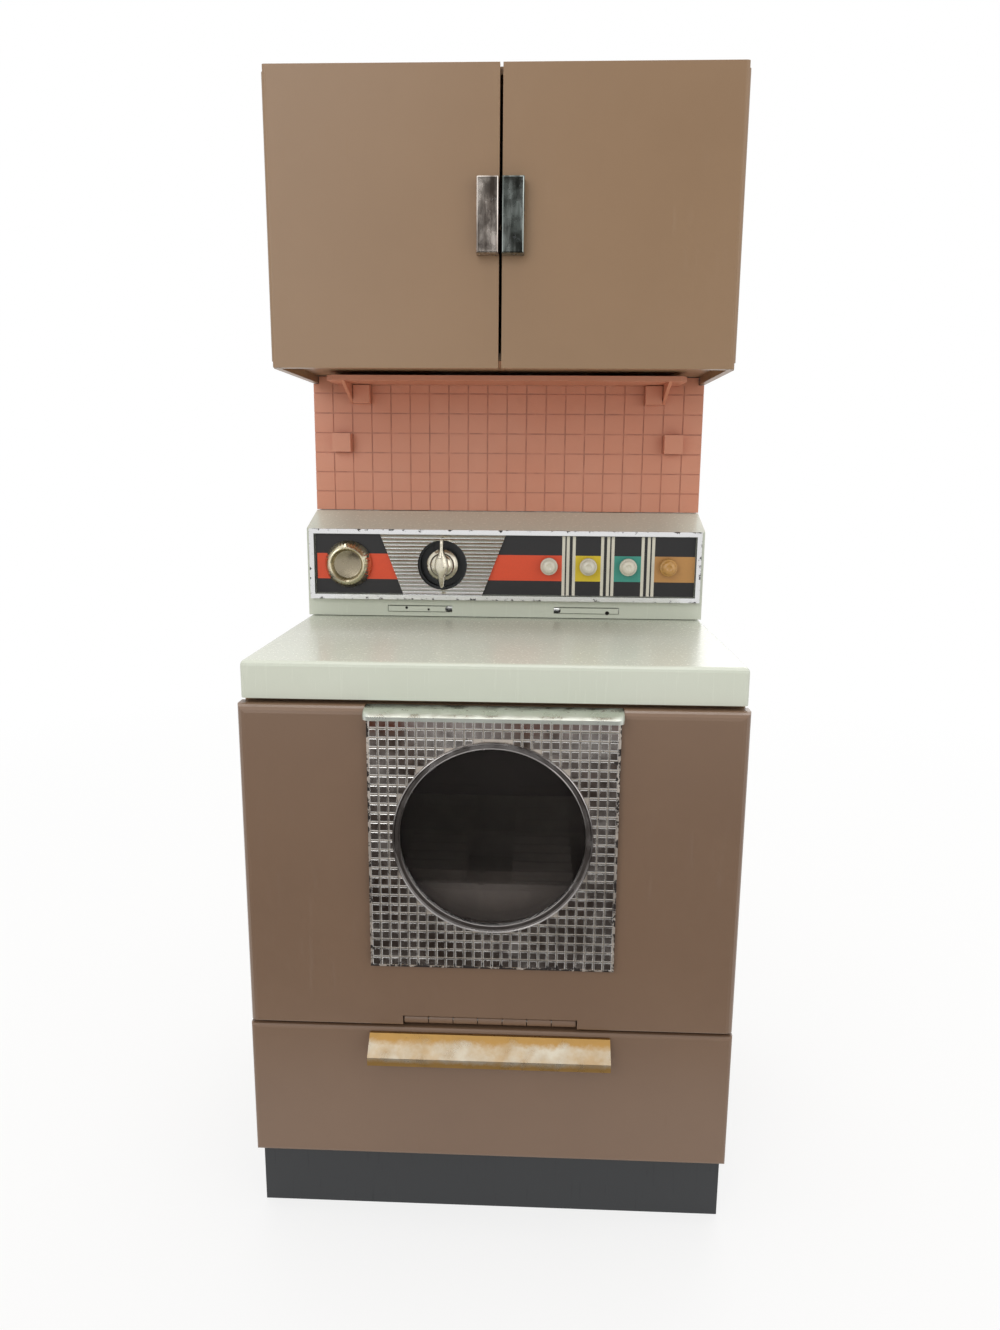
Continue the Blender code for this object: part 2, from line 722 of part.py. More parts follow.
# Dish rack: a clear basket with two rows of plate fins beside a middle channel
RACK_WALL = 0.0013
RACK_SIDE_GAP = 0.001
RACK_FRONT_GAP = 0.0032
RACK_BACK_GAP = 0.006
RACK_HEIGHT = 0.0276
HALF_RACK = HALF_TUB - LINER_WALL - RACK_SIDE_GAP
RACK_FRONT_Y = TUB_FRONT_Y + RACK_FRONT_GAP
RACK_BACK_Y = TUB_BACK_Y - LINER_WALL - RACK_BACK_GAP
RACK_BOTTOM_Z = RUNNER_TOP_Z + FIT
RACK_TOP_Z = RACK_BOTTOM_Z + RACK_HEIGHT
FIN_PITCH = 0.0085
FIN_THICKNESS = 0.001
FIN_HEIGHT = 0.0155
FIN_START = 0.018
FIN_LENGTH = 0.022
CHANNEL_X = -0.0036
HALF_CHANNEL = 0.009
RACK_RIB_WIDTH = 0.002
RACK_RIB_REACH = 0.001
RACK_POINT = (0, RACK_FRONT_Y, RACK_BOTTOM_Z)


def make_dish_rack():
    rack = box(
        "dish_rack",
        about(0, HALF_RACK),
        (RACK_FRONT_Y, RACK_BACK_Y),
        (RACK_BOTTOM_Z, RACK_TOP_Z),
        CLEAR,
    )
    floor = RACK_BOTTOM_Z + RACK_WALL
    hollow = box(
        "rack_hollow",
        about(0, HALF_RACK - RACK_WALL),
        (RACK_FRONT_Y + RACK_WALL, RACK_BACK_Y - RACK_WALL),
        (floor, RACK_TOP_Z + CUT_OVERRUN),
        group=CUTTERS,
    )
    cut(rack, hollow)
    fins = []
    room = RACK_BACK_Y - RACK_WALL - RACK_FRONT_Y - FIN_START
    height = (floor - RACK_WALL / 2, floor + FIN_HEIGHT)
    for number in range(int(room / FIN_PITCH)):
        start = RACK_FRONT_Y + FIN_START + number * FIN_PITCH
        for _, sign in SIDES:
            inner = CHANNEL_X + sign * HALF_CHANNEL
            width = tuple(sorted((inner, inner + sign * FIN_LENGTH)))
            fins.append((width, (start, start + FIN_THICKNESS), height))
    join(rack, boxes("rack_fins", fins, group=CUTTERS))
    rib = box(
        "rack_rib",
        about(CHANNEL_X, RACK_RIB_WIDTH / 2),
        (RACK_FRONT_Y - RACK_RIB_REACH, RACK_FRONT_Y + RACK_WALL / 2),
        (RACK_BOTTOM_Z + RACK_WALL, RACK_TOP_Z),
        group=CUTTERS,
    )
    join(rack, rib)
    pivot(rack, RACK_POINT)


# Drawer: a moulded front, a tray behind it, a plated scoop handle and two runners
DRAWER_DEPTH = 0.006
DRAWER_ROUNDING = 0.0012
TRAY_BACK_GAP = 0.0007
TRAY_SIDE_GAP = 0.0035
TRAY_TOP_GAP = 0.0026
SLIDE_WIDTH = 0.005
SLIDE_HEIGHT = 0.0024
SLIDE_FRONT_GAP = 0.002
HALF_TRAY = HALF_BAY - TRAY_SIDE_GAP
SLIDE_BOTTOM_Z = BAY_BOTTOM_Z + FIT
TRAY_FRONT_Y = FRONT_Y + DRAWER_DEPTH + FIT
TRAY_BACK_Y = BOSS_FRONT_Y - TRAY_BACK_GAP
TRAY_BOTTOM_Z = SLIDE_BOTTOM_Z + SLIDE_HEIGHT + FIT
TRAY_TOP_Z = DIVIDER_TOP_Z - DIVIDER_THICKNESS - TRAY_TOP_GAP
DRAWER_POINT = (0, FRONT_Y, DRAWER_BOTTOM_Z)
HANDLE_WIDTH = 0.077
HANDLE_TOP_GAP = 0.0013
HANDLE_HEIGHT = 0.0079
HANDLE_WALL = 0.0012
HANDLE_LIP = 0.0027
HANDLE_CREST = 0.0009


def make_drawer():
    front = box(
        "drawer_front",
        about(0, HALF_BODY),
        (FRONT_Y, FRONT_Y + DRAWER_DEPTH),
        (DRAWER_BOTTOM_Z, DRAWER_TOP_Z),
        TAUPE,
    )

    def on_front(middle, direction):
        return middle.y < FRONT_Y + DRAWER_ROUNDING / 2 and abs(direction.y) < ALONG_SHARE

    round_edges(front, DRAWER_ROUNDING, on_front, segments=3)
    hollow = box(
        "drawer_front_hollow",
        about(0, HALF_DOOR_HOLLOW),
        (FRONT_Y + SHELL_WALL, FRONT_Y + DRAWER_DEPTH + CUT_OVERRUN),
        (DRAWER_BOTTOM_Z + SHELL_WALL, DRAWER_TOP_Z - SHELL_WALL),
        group=CUTTERS,
    )
    cut(front, hollow)
    pivot(front, DRAWER_POINT)
    tray = box(
        "drawer_tray",
        about(0, HALF_TRAY),
        (TRAY_FRONT_Y, TRAY_BACK_Y),
        (TRAY_BOTTOM_Z, TRAY_TOP_Z),
        TAUPE,
    )
    tray_hollow = box(
        "tray_hollow",
        about(0, HALF_TRAY - LINER_WALL),
        (TRAY_FRONT_Y + LINER_WALL, TRAY_BACK_Y - LINER_WALL),
        (TRAY_BOTTOM_Z + LINER_WALL, TRAY_TOP_Z + CUT_OVERRUN),
        group=CUTTERS,
    )
    cut(tray, tray_hollow)
    tongue = box(
        "tray_tongue",
        about(0, HALF_TRAY - SLIDE_WIDTH),
        (FRONT_Y + SHELL_WALL + FIT, TRAY_FRONT_Y + LINER_WALL / 2),
        (TRAY_BOTTOM_Z + LINER_WALL, TRAY_BOTTOM_Z + 2 * LINER_WALL),
        group=CUTTERS,
    )
    join(tray, tongue)
    pivot(tray, DRAWER_POINT)
    for side, sign in SIDES:
        box(
            f"drawer_runner_{side}",
            sided(sign, HALF_BAY - FIT - SLIDE_WIDTH, HALF_BAY - FIT),
            (CARCASS_FRONT_Y + SLIDE_FRONT_GAP, BOSS_FRONT_Y - FIT),
            (SLIDE_BOTTOM_Z, SLIDE_BOTTOM_Z + SLIDE_HEIGHT),
            BROWN,
        )


def make_drawer_handle():
    back = FRONT_Y - FIT
    nose = FRONT_Y - HANDLE_REACH
    top = DRAWER_TOP_Z - HANDLE_TOP_GAP
    foot = top - HANDLE_HEIGHT
    brow = foot + HANDLE_LIP
    outline = [(back, top), (back - HANDLE_CREST, top), (nose, brow), (nose, foot), (back, foot)]
    handle = prism("drawer_handle", outline, "yz", -HANDLE_WIDTH / 2, HANDLE_WIDTH / 2, GOLD)
    inner_back = back - HANDLE_WALL
    inner = [
        (inner_back, top - 2 * HANDLE_WALL),
        (nose + HANDLE_WALL, brow),
        (nose + HANDLE_WALL, foot - CUT_OVERRUN),
        (inner_back, foot - CUT_OVERRUN),
    ]
    reach = HANDLE_WIDTH / 2 - HANDLE_WALL
    cut(handle, prism("handle_hollow", inner, "yz", -reach, reach, group=CUTTERS))
    pivot(handle, DRAWER_POINT)


# Countertop: a shallow tray turned upside down, with two hooks that hold the console
COUNTER_ROUNDING = 0.0015
HOOK_Z = 0.0022
HOOK_HEIGHT = 0.002
HOOK_LENGTH = 0.0228
HOOK_THICKNESS = 0.0024
HOOK_REACH = 0.0006
HOOK_GAP = 0.002
HOOK_SHARES = (-0.2948, 0.1422)
HOOK_X = [share * CARCASS_WIDTH for share in HOOK_SHARES]
CONSOLE_WALL = 0.0025
HOOK_BOTTOM_Z = COUNTER_TOP_Z + HOOK_Z


def make_countertop():
    front = FRONT_Y + COUNTER_SETBACK
    top = box(
        "countertop",
        about(0, HALF_CARCASS),
        (front, BACK_Y),
        (COUNTER_BOTTOM_Z, COUNTER_TOP_Z),
        MINT,
    )

    def upper_edge(middle, direction):
        high = middle.z > COUNTER_TOP_Z - COUNTER_ROUNDING / 2
        corner = abs(direction.z) > ALONG_SHARE and middle.y < front + COUNTER_ROUNDING
        return corner or (high and middle.y < BACK_Y - COUNTER_ROUNDING)

    round_edges(top, COUNTER_ROUNDING, upper_edge, segments=3)
    hollow = box(
        "counter_hollow",
        about(0, HALF_BAY),
        (front + CARCASS_WALL, BACK_Y - CARCASS_WALL),
        (COUNTER_BOTTOM_Z - CUT_OVERRUN, COUNTER_TOP_Z - CARCASS_WALL),
        group=CUTTERS,
    )
    cut(top, hollow)
    inside = CONSOLE_FRONT_Y + CONSOLE_WALL + FIT
    post_y = (inside, inside + HOOK_THICKNESS)
    post_z = (COUNTER_TOP_Z - CARCASS_WALL / 2, HOOK_BOTTOM_Z + HOOK_HEIGHT)
    hook_y = (CONSOLE_FRONT_Y - HOOK_REACH, inside + HOOK_THICKNESS / 2)
    hook_z = (HOOK_BOTTOM_Z, HOOK_BOTTOM_Z + HOOK_HEIGHT)
    widths = [(start, start + HOOK_LENGTH) for start in HOOK_X]
    join(top, boxes("counter_posts", [(width, post_y, post_z) for width in widths], group=CUTTERS))
    join(top, boxes("counter_hooks", [(width, hook_y, hook_z) for width in widths], group=CUTTERS))


# Console housing: a wedge-topped box, open below and behind
FASCIA_TOP_DROP = 0.0062
CONSOLE_EDGE_Z = CONSOLE_TOP_Z - FASCIA_TOP_DROP
HALF_CONSOLE_HOLLOW = HALF_CARCASS - CONSOLE_WALL
TONGUE_X = 0.032
TONGUE_WIDTH = 0.02
TONGUE_THICKNESS = 0.0024
TONGUE_LENGTH = 0.004
TONGUE_SETBACK = 0.0045
TONGUE_Y = SPLASH_Y + TONGUE_SETBACK
DECK_BACK_Y = SPLASH_Y - FIT

# Places of the controls on the console
FASCIA_END_GAP = 0.00135
FASCIA_WIDTH = CARCASS_WIDTH - 2 * FASCIA_END_GAP
FASCIA_RISE = 0.0068
FASCIA_BOTTOM_Z = CONSOLE_BOTTOM_Z + FASCIA_RISE
FASCIA_HEIGHT = CONSOLE_EDGE_Z - FASCIA_BOTTOM_Z
FASCIA_RIM = 0.0018
FASCIA_DEPTH = 0.0023
CONTROL_Z = FASCIA_BOTTOM_Z + FASCIA_HEIGHT / 2
DIAL_SHARE = -0.4005
KNOB_SHARE = -0.158
BUTTON_SHARES = (0.115, 0.2148, 0.3159, 0.4177)
DIAL_X = DIAL_SHARE * FASCIA_WIDTH
KNOB_X = KNOB_SHARE * FASCIA_WIDTH
BUTTON_X = [share * FASCIA_WIDTH for share in BUTTON_SHARES]
FASCIA_BACK_Y = CONSOLE_FRONT_Y - FIT
FASCIA_FRONT_Y = FASCIA_BACK_Y - FASCIA_DEPTH
CARD_THICKNESS = 0.0005
CARD_FRONT_Y = FASCIA_BACK_Y - CARD_THICKNESS
SPINDLE_RADIUS = 0.0013
STEM_RADIUS = 0.0012
KNOB_HOLE_RADIUS = 0.0096
CUP_RADIUS = 0.0101


def control_places(y, places):
    return [(x, y, CONTROL_Z) for x in places]


def spindle_holes(name, y, length):
    """Cutters for the dial's spindle and the buttons' stems."""
    return rods(
        name,
        control_places(y, [DIAL_X, *BUTTON_X]),
        "y",
        SPINDLE_RADIUS + FIT,
        length,
        group=CUTTERS,
        segments=SMALL_ROUND_SEGMENTS,
    )


def make_console():
    outline = [
        (CONSOLE_FRONT_Y, CONSOLE_BOTTOM_Z),
        (CONSOLE_FRONT_Y, CONSOLE_EDGE_Z),
        (DECK_BACK_Y, CONSOLE_TOP_Z),
        (BACK_Y, CONSOLE_TOP_Z),
        (BACK_Y, CONSOLE_BOTTOM_Z),
    ]
    housing = prism("console_housing", outline, "yz", -HALF_CARCASS, HALF_CARCASS, MINT)
    hollow = [
        (CONSOLE_FRONT_Y + CONSOLE_WALL, CONSOLE_BOTTOM_Z - CUT_OVERRUN),
        (CONSOLE_FRONT_Y + CONSOLE_WALL, CONSOLE_EDGE_Z - CONSOLE_WALL),
        (DECK_BACK_Y, CONSOLE_TOP_Z - CONSOLE_WALL),
        (BACK_Y + CUT_OVERRUN, CONSOLE_TOP_Z - CONSOLE_WALL),
        (BACK_Y + CUT_OVERRUN, CONSOLE_BOTTOM_Z - CUT_OVERRUN),
    ]
    reach = HALF_CONSOLE_HOLLOW
    cut(housing, prism("console_hollow", hollow, "yz", -reach, reach, group=CUTTERS))
    middle = CONSOLE_FRONT_Y + CONSOLE_WALL / 2
    through = CONSOLE_WALL + 2 * CUT_OVERRUN
    cup_place = control_places(middle, [KNOB_X])
    cut(housing, rods("console_cup_hole", cup_place, "y", CUP_RADIUS + FIT, through, group=CUTTERS))
    cut(housing, spindle_holes("console_small_holes", middle, through))
    slot_y = about(middle, through / 2)
    slot_z = (HOOK_BOTTOM_Z - FIT, HOOK_BOTTOM_Z + HOOK_HEIGHT + FIT)
    left, right = HOOK_X
    left_slot = (left - FIT, left + HOOK_LENGTH + FIT + HOOK_GAP)
    right_slot = (right - FIT - HOOK_GAP, right + HOOK_LENGTH + FIT)
    hook_slots = [(width, slot_y, slot_z) for width in (left_slot, right_slot)]
    cut(housing, boxes("console_hook_slots", hook_slots, group=CUTTERS))
    cut(housing, tongue_slots("console_tongue_slots", CONSOLE_TOP_Z - CONSOLE_WALL / 2))
    box(
        "console_back_cover",
        about(0, HALF_CONSOLE_HOLLOW - FIT),
        BACK_PANEL_Y,
        (CONSOLE_BOTTOM_Z + FIT, CONSOLE_TOP_Z - CONSOLE_WALL - FIT),
        MINT,
    )


def tongue_slots(name, z):
    """Cutters for the backsplash tongues, through a wall whose middle is at height z."""
    slots = []
    for _, sign in SIDES:
        x = sided(sign, TONGUE_X - FIT, TONGUE_X + TONGUE_WIDTH + FIT)
        y = about(TONGUE_Y, TONGUE_THICKNESS / 2 + FIT)
        slots.append((x, y, about(z, CONSOLE_WALL)))
    return boxes(name, slots, group=CUTTERS)


# Fascia: a chrome frame with a ribbed panel round the timer, over a printed card
PANEL_TOP_SHARES = (-0.3173, 0.004)
PANEL_BOTTOM_SHARES = (-0.2584, -0.0562)
PANEL_TOP_X = [share * FASCIA_WIDTH for share in PANEL_TOP_SHARES]
PANEL_BOTTOM_X = [share * FASCIA_WIDTH for share in PANEL_BOTTOM_SHARES]
RIB_CREST_SHARE = 0.5
RIBS = 17
RIB_REACH = 0.0005
RIBBED_PANEL = 0.001
PANEL_FRONT_Y = CARD_FRONT_Y - FIT - RIBBED_PANEL


def make_fascia():
    top = FASCIA_BOTTOM_Z + FASCIA_HEIGHT
    frame = box(
        "fascia_frame",
        about(0, FASCIA_WIDTH / 2),
        (FASCIA_FRONT_Y, FASCIA_BACK_Y),
        (FASCIA_BOTTOM_Z, top),
        CHROME,
    )
    low = FASCIA_BOTTOM_Z + FASCIA_RIM
    high = top - FASCIA_RIM
    window = box(
        "fascia_window",
        about(0, FASCIA_WIDTH / 2 - FASCIA_RIM),
        (FASCIA_FRONT_Y - CUT_OVERRUN, FASCIA_BACK_Y + CUT_OVERRUN),
        (low, high),
        group=CUTTERS,
    )
    cut(frame, window)
    pitch = (high - low) / RIBS
    profile = [(CARD_FRONT_Y - FIT, low - FASCIA_RIM / 2), (CARD_FRONT_Y - FIT, high + FASCIA_RIM / 2)]
    profile.append((PANEL_FRONT_Y, high + FASCIA_RIM / 2))
    for number in range(RIBS, 0, -1):
        profile.append((PANEL_FRONT_Y, low + number * pitch))
        profile.append((PANEL_FRONT_Y - RIB_REACH, low + (number - RIB_CREST_SHARE) * pitch))
    profile.append((PANEL_FRONT_Y, low))
    profile.append((PANEL_FRONT_Y, low - FASCIA_RIM / 2))
    ribbed = prism("fascia_ribs", profile, "yz", PANEL_TOP_X[0], PANEL_TOP_X[1], group=CUTTERS)
    slope_left = (PANEL_BOTTOM_X[0] - PANEL_TOP_X[0]) / (high - low)
    slope_right = (PANEL_BOTTOM_X[1] - PANEL_TOP_X[1]) / (high - low)
    over = FASCIA_RIM
    trapezoid = [
        (PANEL_TOP_X[0] - slope_left * over, high + over),
        (PANEL_TOP_X[1] - slope_right * over, high + over),
        (PANEL_BOTTOM_X[1] + slope_right * over, low - over),
        (PANEL_BOTTOM_X[0] + slope_left * over, low - over),
    ]
    shape = prism(
        "fascia_panel_shape",
        trapezoid,
        "xz",
        PANEL_FRONT_Y - RIB_REACH - CUT_OVERRUN,
        FASCIA_BACK_Y + CUT_OVERRUN,
        group=CUTTERS,
    )
    boolean(ribbed, shape, "INTERSECT")
    join(frame, ribbed)
    hole = rods(
        "fascia_knob_hole",
        control_places(FASCIA_BACK_Y, [KNOB_X]),
        "y",
        KNOB_HOLE_RADIUS,
        2 * FASCIA_DEPTH + 2 * CUT_OVERRUN,
        group=CUTTERS,
    )
    cut(frame, hole)
    card = box(
        "fascia_card",
        about(0, FASCIA_WIDTH / 2 - FASCIA_RIM - FIT),
        (CARD_FRONT_Y, FASCIA_BACK_Y),
        (low + FIT, high - FIT),
        CARD,
    )
    through = CARD_THICKNESS + 2 * CUT_OVERRUN
    middle = (CARD_FRONT_Y + FASCIA_BACK_Y) / 2
    knob_place = control_places(middle, [KNOB_X])
    cut(card, rods("card_knob_hole", knob_place, "y", KNOB_HOLE_RADIUS + FIT, through, group=CUTTERS))
    cut(card, spindle_holes("card_small_holes", middle, through))


# Left dial, timer knob and the cup that the timer knob sits in
DIAL_RADIUS = 0.00905
DIAL_FACE_RADIUS = 0.0074
DIAL_RECESS_RADIUS = 0.0061
DIAL_HEIGHT = 0.0048
DIAL_RECESS = 0.0026
CUP_WALL = 0.0012
CUP_DEPTH = 0.0055
KNOB_RADIUS = 0.00605
KNOB_CHEST = 0.0045
KNOB_THICKNESS = 0.0038
LEVER_HEIGHT = 0.004
LEVER_UP = 0.0102
LEVER_DOWN = 0.0086
LEVER_HALF_WIDTH = 0.0022
LEVER_TIP_HALF_WIDTH = 0.0008
LEVER_GAP = 0.0003
RETAINER_RADIUS = 0.003
RETAINER_THICKNESS = 0.001
HOUSING_INNER_Y = CONSOLE_FRONT_Y + CONSOLE_WALL
CUP_BACK_Y = CONSOLE_FRONT_Y + FIT + CUP_DEPTH


def washer(name, spot, shaft_radius, outer):
    """A steel push-on ring behind a wall; spot is the middle of its front face."""
    inner = shaft_radius + PIN_CLEARANCE
    profile = [(outer, 0), (outer, -RETAINER_THICKNESS), (inner, -RETAINER_THICKNESS), (inner, 0)]
    return turned(name, profile, spot, STEEL, closed=True, segments=SMALL_ROUND_SEGMENTS)


def make_dial():
    back = CARD_FRONT_Y - FIT
    spindle = HOUSING_INNER_Y + FIT + RETAINER_THICKNESS + FIT - back
    profile = [
        (0, DIAL_HEIGHT - DIAL_RECESS),
        (DIAL_RECESS_RADIUS, DIAL_HEIGHT - DIAL_RECESS),
        (DIAL_RECESS_RADIUS, DIAL_HEIGHT),
        (DIAL_FACE_RADIUS, DIAL_HEIGHT),
        (DIAL_RADIUS, DIAL_HEIGHT / 4),
        (DIAL_RADIUS, 0),
        (SPINDLE_RADIUS, 0),
        (SPINDLE_RADIUS, -spindle),
        (0, -spindle),
    ]
    turned("left_dial", profile, (DIAL_X, back, CONTROL_Z), GOLD)
    seat = (DIAL_X, HOUSING_INNER_Y + FIT, CONTROL_Z)
    washer("dial_retainer", seat, SPINDLE_RADIUS, RETAINER_RADIUS)


def make_timer():
    front = CONSOLE_FRONT_Y + FIT
    floor = CUP_DEPTH - CUP_WALL
    bore = SPINDLE_RADIUS + FIT
    cup = [
        (CUP_RADIUS, 0),
        (CUP_RADIUS, -CUP_DEPTH),
        (bore, -CUP_DEPTH),
        (bore, -floor),
        (CUP_RADIUS - CUP_WALL, -floor),
        (CUP_RADIUS - CUP_WALL, 0),
    ]
    turned("timer_cup", cup, (KNOB_X, front, CONTROL_Z), BLACK, closed=True)
    crown = FASCIA_FRONT_Y - LEVER_GAP
    spindle = CUP_BACK_Y + FIT + RETAINER_THICKNESS + FIT - crown
    body = [
        (0, LEVER_HEIGHT / 4),
        (KNOB_CHEST, 0),
        (KNOB_RADIUS, -KNOB_THICKNESS / 2),
        (KNOB_RADIUS, -KNOB_THICKNESS),
        (SPINDLE_RADIUS, -KNOB_THICKNESS),
        (SPINDLE_RADIUS, -spindle),
        (0, -spindle),
    ]
    knob = turned("timer_knob", body, (KNOB_X, crown, CONTROL_Z), CHROME)
    lever = [
        (KNOB_X - LEVER_TIP_HALF_WIDTH, CONTROL_Z + LEVER_UP),
        (KNOB_X + LEVER_TIP_HALF_WIDTH, CONTROL_Z + LEVER_UP),
        (KNOB_X + LEVER_HALF_WIDTH, CONTROL_Z + LEVER_HALF_WIDTH),
        (KNOB_X + LEVER_HALF_WIDTH, CONTROL_Z - LEVER_HALF_WIDTH),
        (KNOB_X + LEVER_TIP_HALF_WIDTH, CONTROL_Z - LEVER_DOWN),
        (KNOB_X - LEVER_TIP_HALF_WIDTH, CONTROL_Z - LEVER_DOWN),
        (KNOB_X - LEVER_HALF_WIDTH, CONTROL_Z - LEVER_HALF_WIDTH),
        (KNOB_X - LEVER_HALF_WIDTH, CONTROL_Z + LEVER_HALF_WIDTH),
    ]
    join(knob, prism("timer_lever", lever, "xz", crown - LEVER_HEIGHT, crown, group=CUTTERS))
    seat = (KNOB_X, CUP_BACK_Y + FIT, CONTROL_Z)
    washer("timer_retainer", seat, SPINDLE_RADIUS, RETAINER_RADIUS)


# Push buttons: hollow caps on stems, each over a small coil spring
BUTTON_RADIUS = 0.00335
BUTTON_HEIGHT = 0.0032
BUTTON_SHOULDER = 0.0014
BUTTON_CAVITY_RADIUS = 0.0024
BUTTON_CAVITY = 0.0021
BUTTON_TRAVEL = 0.0012
BUTTON_CLIP_RADIUS = 0.0024
SPRING_RADIUS = 0.0018
SPRING_WIRE = 0.00015
SPRING_TURNS = 2
SPRING_TURN_POINTS = 8


def make_spring(name, x):
    """A coil at its pressed length, standing on the card round the stem."""
    start = CARD_FRONT_Y - FIT - SPRING_WIRE
    end = CARD_FRONT_Y - FIT - BUTTON_CAVITY + SPRING_WIRE + FIT
    count = SPRING_TURNS * SPRING_TURN_POINTS
    curve = bpy.data.curves.new(name, "CURVE")
    curve.dimensions = "3D"
    curve.bevel_depth = SPRING_WIRE
    curve.bevel_resolution = 1
    curve.use_fill_caps = True
    spline = curve.splines.new("POLY")
    spline.points.add(count)
    for number in range(count + 1):
        angle = 2 * pi * number / SPRING_TURN_POINTS
        y = start + (end - start) * number / count
        place_x = x + SPRING_RADIUS * cos(angle)
        place_z = CONTROL_Z + SPRING_RADIUS * sin(angle)
        spline.points[number].co = (place_x, y, place_z, 1)
    spring = bpy.data.objects.new(name, curve)
    PARTS.objects.link(spring)
    curve.materials.append(STEEL)


def make_buttons():
    back = CARD_FRONT_Y - FIT - BUTTON_TRAVEL
    stem = HOUSING_INNER_Y + FIT + RETAINER_THICKNESS + FIT - back
    profile = [
        (0, BUTTON_HEIGHT),
        (BUTTON_RADIUS / 2, BUTTON_HEIGHT),
        (BUTTON_RADIUS, BUTTON_SHOULDER),
        (BUTTON_RADIUS, 0),
        (BUTTON_CAVITY_RADIUS, 0),
        (BUTTON_CAVITY_RADIUS, BUTTON_CAVITY),
        (STEM_RADIUS, BUTTON_CAVITY),
        (STEM_RADIUS, -stem),
        (0, -stem),
    ]
    for number, x in enumerate(BUTTON_X, start=1):
        finish = AMBER if number == len(BUTTON_X) else WHITE
        spot = (x, back, CONTROL_Z)
        turned(f"push_button_{number}", profile, spot, finish, segments=SMALL_ROUND_SEGMENTS)
        seat = (x, HOUSING_INNER_Y + FIT, CONTROL_Z)
        washer(f"button_clip_{number}", seat, STEM_RADIUS, BUTTON_CLIP_RADIUS)
        make_spring(f"button_spring_{number}", x)


# Backsplash: a tiled panel with flanges behind it and four shelf blocks in front
SPLASH_WALL = 0.0024
TILE_COLUMNS = 20
TILE_WIDTH = CARCASS_WIDTH / TILE_COLUMNS
TILE_HEIGHT = 0.00765
GROOVE_WIDTH = 0.0005
GROOVE_DEPTH = 0.0003
BLOCK_REACH = 0.005
UPPER_BLOCK_COLUMN = 7
UPPER_BLOCK_WIDTH = 0.0064
UPPER_BLOCK_HEIGHT = 0.007
LOWER_BLOCK_COLUMN = 8
LOWER_BLOCK_ROW = 3
SHELF_THICKNESS = 0.0018
SHELF_CLEARANCE = 0.0017
SHELF_TOP_Z = CABINET_FLOOR_Z - SHELF_CLEARANCE
SHELF_BOTTOM_Z = SHELF_TOP_Z - SHELF_THICKNESS
UPPER_BLOCK_X = UPPER_BLOCK_COLUMN * TILE_WIDTH
UPPER_BLOCK_TOP_Z = SHELF_BOTTOM_Z - FIT
LOWER_BLOCK_X = LOWER_BLOCK_COLUMN * TILE_WIDTH + GROOVE_WIDTH / 2
LOWER_BLOCK_Z = CONSOLE_TOP_Z + LOWER_BLOCK_ROW * TILE_HEIGHT + GROOVE_WIDTH / 2
CREST_TOP_Z = CABINET_FLOOR_Z - FIT
HALF_CREST = BODY_WIDTH / 2 - CABINET_WALL - FIT


def make_backsplash():
    splash = box(
        "backsplash",
        about(0, HALF_CARCASS),
        (SPLASH_Y, BACK_Y),
        (SPLASH_BOTTOM_Z, SPLASH_TOP_Z),
        PINK,
    )
    hollow = box(
        "splash_hollow",
        about(0, HALF_CARCASS - SPLASH_WALL),
        (SPLASH_Y + SPLASH_WALL, BACK_Y + CUT_OVERRUN),
        (SPLASH_BOTTOM_Z + SPLASH_WALL, SPLASH_TOP_Z - SPLASH_WALL),
        group=CUTTERS,
    )
    cut(splash, hollow)
    tongues = []
    blocks = []
    front = (SPLASH_Y - BLOCK_REACH, SPLASH_Y + SPLASH_WALL / 2)
    for _, sign in SIDES:
        x = sided(sign, TONGUE_X, TONGUE_X + TONGUE_WIDTH)
        y = about(TONGUE_Y, TONGUE_THICKNESS / 2)
        tongues.append((x, y, (SPLASH_BOTTOM_Z - TONGUE_LENGTH, SPLASH_BOTTOM_Z + SPLASH_WALL / 2)))
        tongues.append((x, y, (CREST_TOP_Z - SPLASH_WALL / 2, CREST_TOP_Z + TONGUE_LENGTH)))
        upper = (UPPER_BLOCK_TOP_Z - UPPER_BLOCK_HEIGHT, UPPER_BLOCK_TOP_Z)
        lower = (LOWER_BLOCK_Z, LOWER_BLOCK_Z + TILE_HEIGHT - GROOVE_WIDTH)
        blocks.append((sided(sign, UPPER_BLOCK_X, UPPER_BLOCK_X + UPPER_BLOCK_WIDTH), front, upper))
        lower_x = sided(sign, LOWER_BLOCK_X, LOWER_BLOCK_X + TILE_WIDTH - GROOVE_WIDTH)
        blocks.append((lower_x, front, lower))
    crest = box(
        "splash_crest",
        about(0, HALF_CREST),
        (SPLASH_Y, BACK_Y),
        (SPLASH_TOP_Z - SPLASH_WALL / 2, CREST_TOP_Z),
        group=CUTTERS,
    )
    join(splash, crest)
    join(splash, boxes("splash_tongues", tongues, group=CUTTERS))
    groove_front = (SPLASH_Y - CUT_OVERRUN, SPLASH_Y + GROOVE_DEPTH)
    height = (SPLASH_BOTTOM_Z - CUT_OVERRUN, SPLASH_TOP_Z)
    upright = [
        (about(number * TILE_WIDTH - HALF_CARCASS, GROOVE_WIDTH / 2), groove_front, height)
        for number in range(1, TILE_COLUMNS)
    ]
    rows = int(SPLASH_HEIGHT / TILE_HEIGHT)
    level = [
        (
            about(0, HALF_CARCASS + CUT_OVERRUN),
            groove_front,
            about(CONSOLE_TOP_Z + number * TILE_HEIGHT, GROOVE_WIDTH / 2),
        )
        for number in range(1, rows + 1)
    ]
    cut(splash, boxes("splash_upright_grooves", upright, group=CUTTERS))
    cut(splash, boxes("splash_level_grooves", level, group=CUTTERS))
    join(splash, boxes("splash_blocks", blocks, group=CUTTERS))


